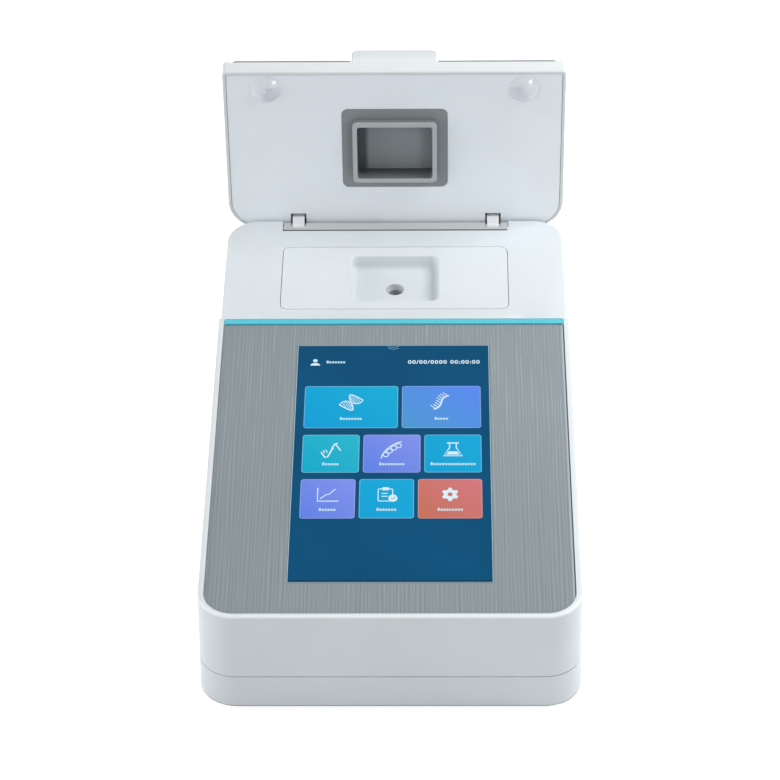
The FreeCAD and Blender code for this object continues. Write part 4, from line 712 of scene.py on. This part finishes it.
# width of the painted highlight along the glass's edge
GLASS_EDGE_HIGHLIGHT = 0.4 * MM
FRONT_BAND = 1.2 * MM
ICON_RUN, LABEL_RUN = 0.61, 0.215    # places along a tile, as shares of its length
LETTER = 0.95 * MM           # a block that stands for a letter of a label
LETTER_GAP = 0.28 * MM
LETTER_HEIGHT, CAPITAL_HEIGHT = 1.25 * MM, 1.75 * MM
HEADER_RUN = 142.2 * MM      # the header's line, from the screen's front edge
USER_PLACE, USER_SIZE = 8.2 * MM, 5.2 * MM
NAME_PLACE, NAME_LETTERS = 13.2 * MM, 7
CLOCK = "00/00/0000 00:00:00"
CLOCK_SIZE, CLOCK_SPACING, CLOCK_BOLD = 3.3 * MM, 1.16, 0.07 * MM
PULL_RUNS = (1.6 * MM, 2.9 * MM)     # the pull-down mark's two lines, from the screen's far edge
PULL_HALF, PULL_RISE, PULL_STROKE = 2.4 * MM, 0.9 * MM, 0.3 * MM

SKY, AZURE = colour(8, 156, 214), colour(20, 172, 215)
BLUE, PERIWINKLE = colour(76, 152, 208), colour(90, 136, 242)
SEA, TEAL = colour(12, 167, 201), colour(42, 182, 206)
VIOLET, LILAC = colour(94, 128, 226), colour(130, 146, 236)
WATER, CYAN = colour(12, 161, 213), colour(18, 168, 218)
CORAL, ROSE = colour(198, 112, 88), colour(212, 120, 128)

# each row: front edge, length, and its tiles as (name, share, first, second, icon, blocks)
ROWS = (
    (97.5 * MM, 27.9 * MM, (
        ("pairs", 41.1, SKY, AZURE, icon_helix, 8),
        ("single", 34.5, BLUE, PERIWINKLE, icon_comb, 5),
    )),
    (68.4 * MM, 24.3 * MM, (
        ("short", 1, SEA, TEAL, icon_zigzag, 6),
        ("chain", 1, VIOLET, LILAC, icon_coil, 9),
        ("flask", 1, WATER, CYAN, icon_flask, 16),
    )),
    (39.3 * MM, 24.5 * MM, (
        ("curve", 23.2, VIOLET, LILAC, icon_chart, 6),
        ("report", 23.2, WATER, CYAN, icon_clipboard, 7),
        ("settings", 27.2, CORAL, ROSE, icon_gear, 9),
    )),
)


def blocks(x, y, letters, left=False):
    """Small plain blocks in a row, the first one taller, where a word would stand.

    The row is centred on x, or with left starts there.
    """
    pitch = LETTER + LETTER_GAP
    start = x if left else x - (letters * pitch - LETTER_GAP) / 2
    plates = []
    for index in range(letters):
        x0 = start + index * pitch
        height = LETTER_HEIGHT if index else CAPITAL_HEIGHT
        plates.append(rounded_outline(x0, y, x0 + LETTER, y + height, LETTER / 4))
    return plates


def draw_tile(screen, label, x0, x1, run, length, tints, icon, letters):
    """One tile with its paler rim, its pictogram and the blocks that stand for its word."""
    tile = rounded_outline(x0, run, x1, run + length, TILE_RADIUS)
    screen.add("tile_" + label, [tile], glow("tile_" + label, *tints))
    rim = ribbon(tile, TILE_RIM, closed=True)
    brighter = [paler(tint, RIM_WHITE) for tint in tints]
    screen.add("rim_" + label, rim, glow("rim_" + label, *brighter), level=2)
    middle = (x0 + x1) / 2
    spot = (middle, run + ICON_RUN * length, ICON_SIZE, ICON_TALL)
    screen.add("icon_" + label, placed(icon(), *spot), screen.white, level=2)
    if icon is icon_clipboard:
        screen.add("tick_" + label, placed(tick(), *spot), glow("tick_" + label, *tints), level=3)
    word = blocks(middle, run + LABEL_RUN * length - LETTER_HEIGHT / 2, letters)
    screen.add("label_" + label, word, screen.pale, level=2)


def draw_tiles(screen):
    """The rows of tiles; a row's tiles share its width by their shares."""
    for run, length, tiles in ROWS:
        room = screen.width - 2 * MARGIN - TILE_GAP * (len(tiles) - 1)
        unit = room / sum(share for _, share, *_ in tiles)
        x0 = MARGIN
        for label, share, first, second, icon, letters in tiles:
            x1 = x0 + unit * share
            draw_tile(screen, label, x0, x1, run, length, (first, second), icon, letters)
            x0 = x1 + TILE_GAP


def draw_edges(screen):
    """A painted highlight round the glass's edge, as a pale glowing strip, and the darker band along its
    front edge.
    """
    half = GLASS_EDGE_HIGHLIGHT / 2
    border = [(half, half), (screen.width - half, half)]
    border += [(screen.width - half, screen.length - half), (half, screen.length - half)]
    screen.add("glass_edge_highlight", ribbon(border, GLASS_EDGE_HIGHLIGHT, closed=True), screen.edge)
    run = GLASS_EDGE_HIGHLIGHT + FRONT_BAND / 2
    band = [(GLASS_EDGE_HIGHLIGHT, run), (screen.width - GLASS_EDGE_HIGHLIGHT, run)]
    screen.add("glass_front_band", ribbon(band, FRONT_BAND), screen.shade)


def draw_clock(screen):
    """Noughts where a date and a time would stand, ending at the tiles' right edge."""
    clock = bpy.data.curves.new("header_clock", "FONT")
    clock.body = CLOCK
    clock.size = CLOCK_SIZE
    clock.space_character = CLOCK_SPACING
    clock.align_x = "RIGHT"
    clock.align_y = "CENTER"
    clock.extrude = LAYER / 2
    clock.offset = CLOCK_BOLD
    writing = bpy.data.objects.new("header_clock_curve", clock)
    bpy.context.scene.collection.objects.link(writing)
    graph = bpy.context.evaluated_depsgraph_get()
    mesh = bpy.data.meshes.new_from_object(writing.evaluated_get(graph))
    bpy.data.objects.remove(writing)
    place = (screen.width - MARGIN, HEADER_RUN, LIFT + LAYER / 2)
    screen.lay("header_clock", mesh, screen.white, place)


def draw_header(screen):
    """Signed-in user at the left, the clock at the right, and a pull-down mark."""
    person = placed(icon_person(), USER_PLACE, HEADER_RUN, USER_SIZE)
    screen.add("header_user", person, screen.white)
    name = blocks(NAME_PLACE, HEADER_RUN - LETTER_HEIGHT / 2, NAME_LETTERS, left=True)
    screen.add("header_name", name, screen.pale)
    draw_clock(screen)
    middle = screen.width / 2
    marks = []
    for from_edge in PULL_RUNS:
        low = screen.length - from_edge
        mark = [(middle - PULL_HALF, low + PULL_RISE), (middle, low), (middle + PULL_HALF, low + PULL_RISE)]
        marks += ribbon(mark, PULL_STROKE)
    screen.add("header_pull", marks, glow("screen_dim", colour(120, 165, 190)))


# ================================================================ studio
FLOOR_HALF = 6.0
FLOOR_PATCH, FLOOR_UNEVEN = 0.4, 0.005   # size and strength of its faint unevenness
FLOOR_LIFT = 0.66            # its own glow, which only the camera sees
FLOOR_SEEN, FLOOR_BOUNCE = 1.0, 0.62     # its share of light sent back, to the camera and the object
WORLD_SEEN, WORLD_LIGHT = 1.0, 0.44      # the world's strength, for the camera and the object
SEEN_RAYS = ("Is Camera Ray", "Is Glossy Ray", "Is Transmission Ray")
TARGET = Vector((0, 0.02, 0.05))
LAMPS = (                    # name, place, size and power in watts of each soft box
    ("key", (0.54, 0.14, 0.71), 0.45, 4.5),
    ("fill", (-1.4, -0.2, 0.5), 1.0, 10.0),
    ("glint", (0.7, -0.9, 0.26), 0.3, 1.9),
    ("back", (0.3, 1.6, 0.5), 1.0, 5.0),
)
LENS, SENSOR = 152.68, 36.0  # in millimetres, as Blender takes them
CAMERA_PLACE = (0.0204, -1.15294, 0.96385)
CAMERA_TURN, CAMERA_DROP, CAMERA_ROLL = 1.08, 38.37, -0.78   # in degrees; the drop is below level


def camera_only(tree, seen, unseen):
    """Value that camera, glossy and transmission rays meet as seen, and all others as unseen."""
    path = tree.nodes.new("ShaderNodeLightPath")
    either = path.outputs[SEEN_RAYS[0]]
    for ray in SEEN_RAYS[1:]:
        larger = tree.nodes.new("ShaderNodeMath")
        larger.operation = "MAXIMUM"
        tree.links.new(either, larger.inputs[0])
        tree.links.new(path.outputs[ray], larger.inputs[1])
        either = larger.outputs["Value"]
    chosen = tree.nodes.new("ShaderNodeMapRange")
    fill(chosen, {"To Min": unseen, "To Max": seen})
    tree.links.new(either, chosen.inputs["Value"])
    return chosen.outputs["Result"]


def make_world():
    """White background, whose light on the object is weaker than it looks."""
    world = bpy.data.worlds.new("studio")
    bpy.context.scene.world = world
    world.use_nodes = True
    tree = world.node_tree
    background = tree.nodes["Background"]
    fill(background, {"Color": WHITE})
    tree.links.new(camera_only(tree, WORLD_SEEN, WORLD_LIGHT), background.inputs["Strength"])


def make_floor():
    """Pale floor that keeps the object's shadow."""
    mesh = bpy.data.meshes.new("floor")
    half = FLOOR_HALF
    mesh.from_pydata(
        [(-half, -half, 0), (half, -half, 0), (half, half, 0), (-half, half, 0)], [], [(0, 1, 2, 3)]
    )
    floor = bpy.data.objects.new("floor", mesh)
    bpy.context.scene.collection.objects.link(floor)
    finish = Finish("floor", Roughness=0.9, Specular_IOR_Level=0.0, Emission_Color=WHITE)
    faint = finish.spread(finish.noise(FLOOR_PATCH), 1 - FLOOR_UNEVEN, 1 + FLOOR_UNEVEN)
    share = camera_only(finish.tree, FLOOR_SEEN, FLOOR_BOUNCE)
    finish.drive(finish.math("MULTIPLY", share, faint), "Base Color")
    finish.drive(camera_only(finish.tree, FLOOR_LIFT, 0.0), "Emission Strength")
    mesh.materials.append(finish.material)


def make_lamps():
    """Square soft boxes aimed at the object."""
    for name, place, size, power in LAMPS:
        data = bpy.data.lights.new(name, "AREA")
        data.size = size
        data.energy = power
        lamp = bpy.data.objects.new(name, data)
        lamp.location = place
        lamp.rotation_euler = (Vector(place) - TARGET).to_track_quat("Z", "Y").to_euler()
        bpy.context.scene.collection.objects.link(lamp)


def make_camera():
    """Camera in front of the object, looking down on it."""
    data = bpy.data.cameras.new("camera")
    data.lens = LENS
    data.sensor_width = SENSOR
    camera = bpy.data.objects.new("camera", data)
    turn = Matrix.Rotation(math.radians(CAMERA_TURN), 4, "Z")
    tip = Matrix.Rotation(math.radians(90 - CAMERA_DROP), 4, "X")
    roll = Matrix.Rotation(math.radians(CAMERA_ROLL), 4, "Z")
    camera.matrix_world = Matrix.Translation(CAMERA_PLACE) @ turn @ tip @ roll
    bpy.context.scene.collection.objects.link(camera)
    bpy.context.scene.camera = camera


def main():
    """Dresses the part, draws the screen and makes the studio."""
    dress_frame()
    screen = Screen()
    draw_edges(screen)
    draw_tiles(screen)
    draw_header(screen)
    make_world()
    make_floor()
    make_lamps()
    make_camera()
    bpy.context.scene.view_settings.view_transform = "Standard"


main()
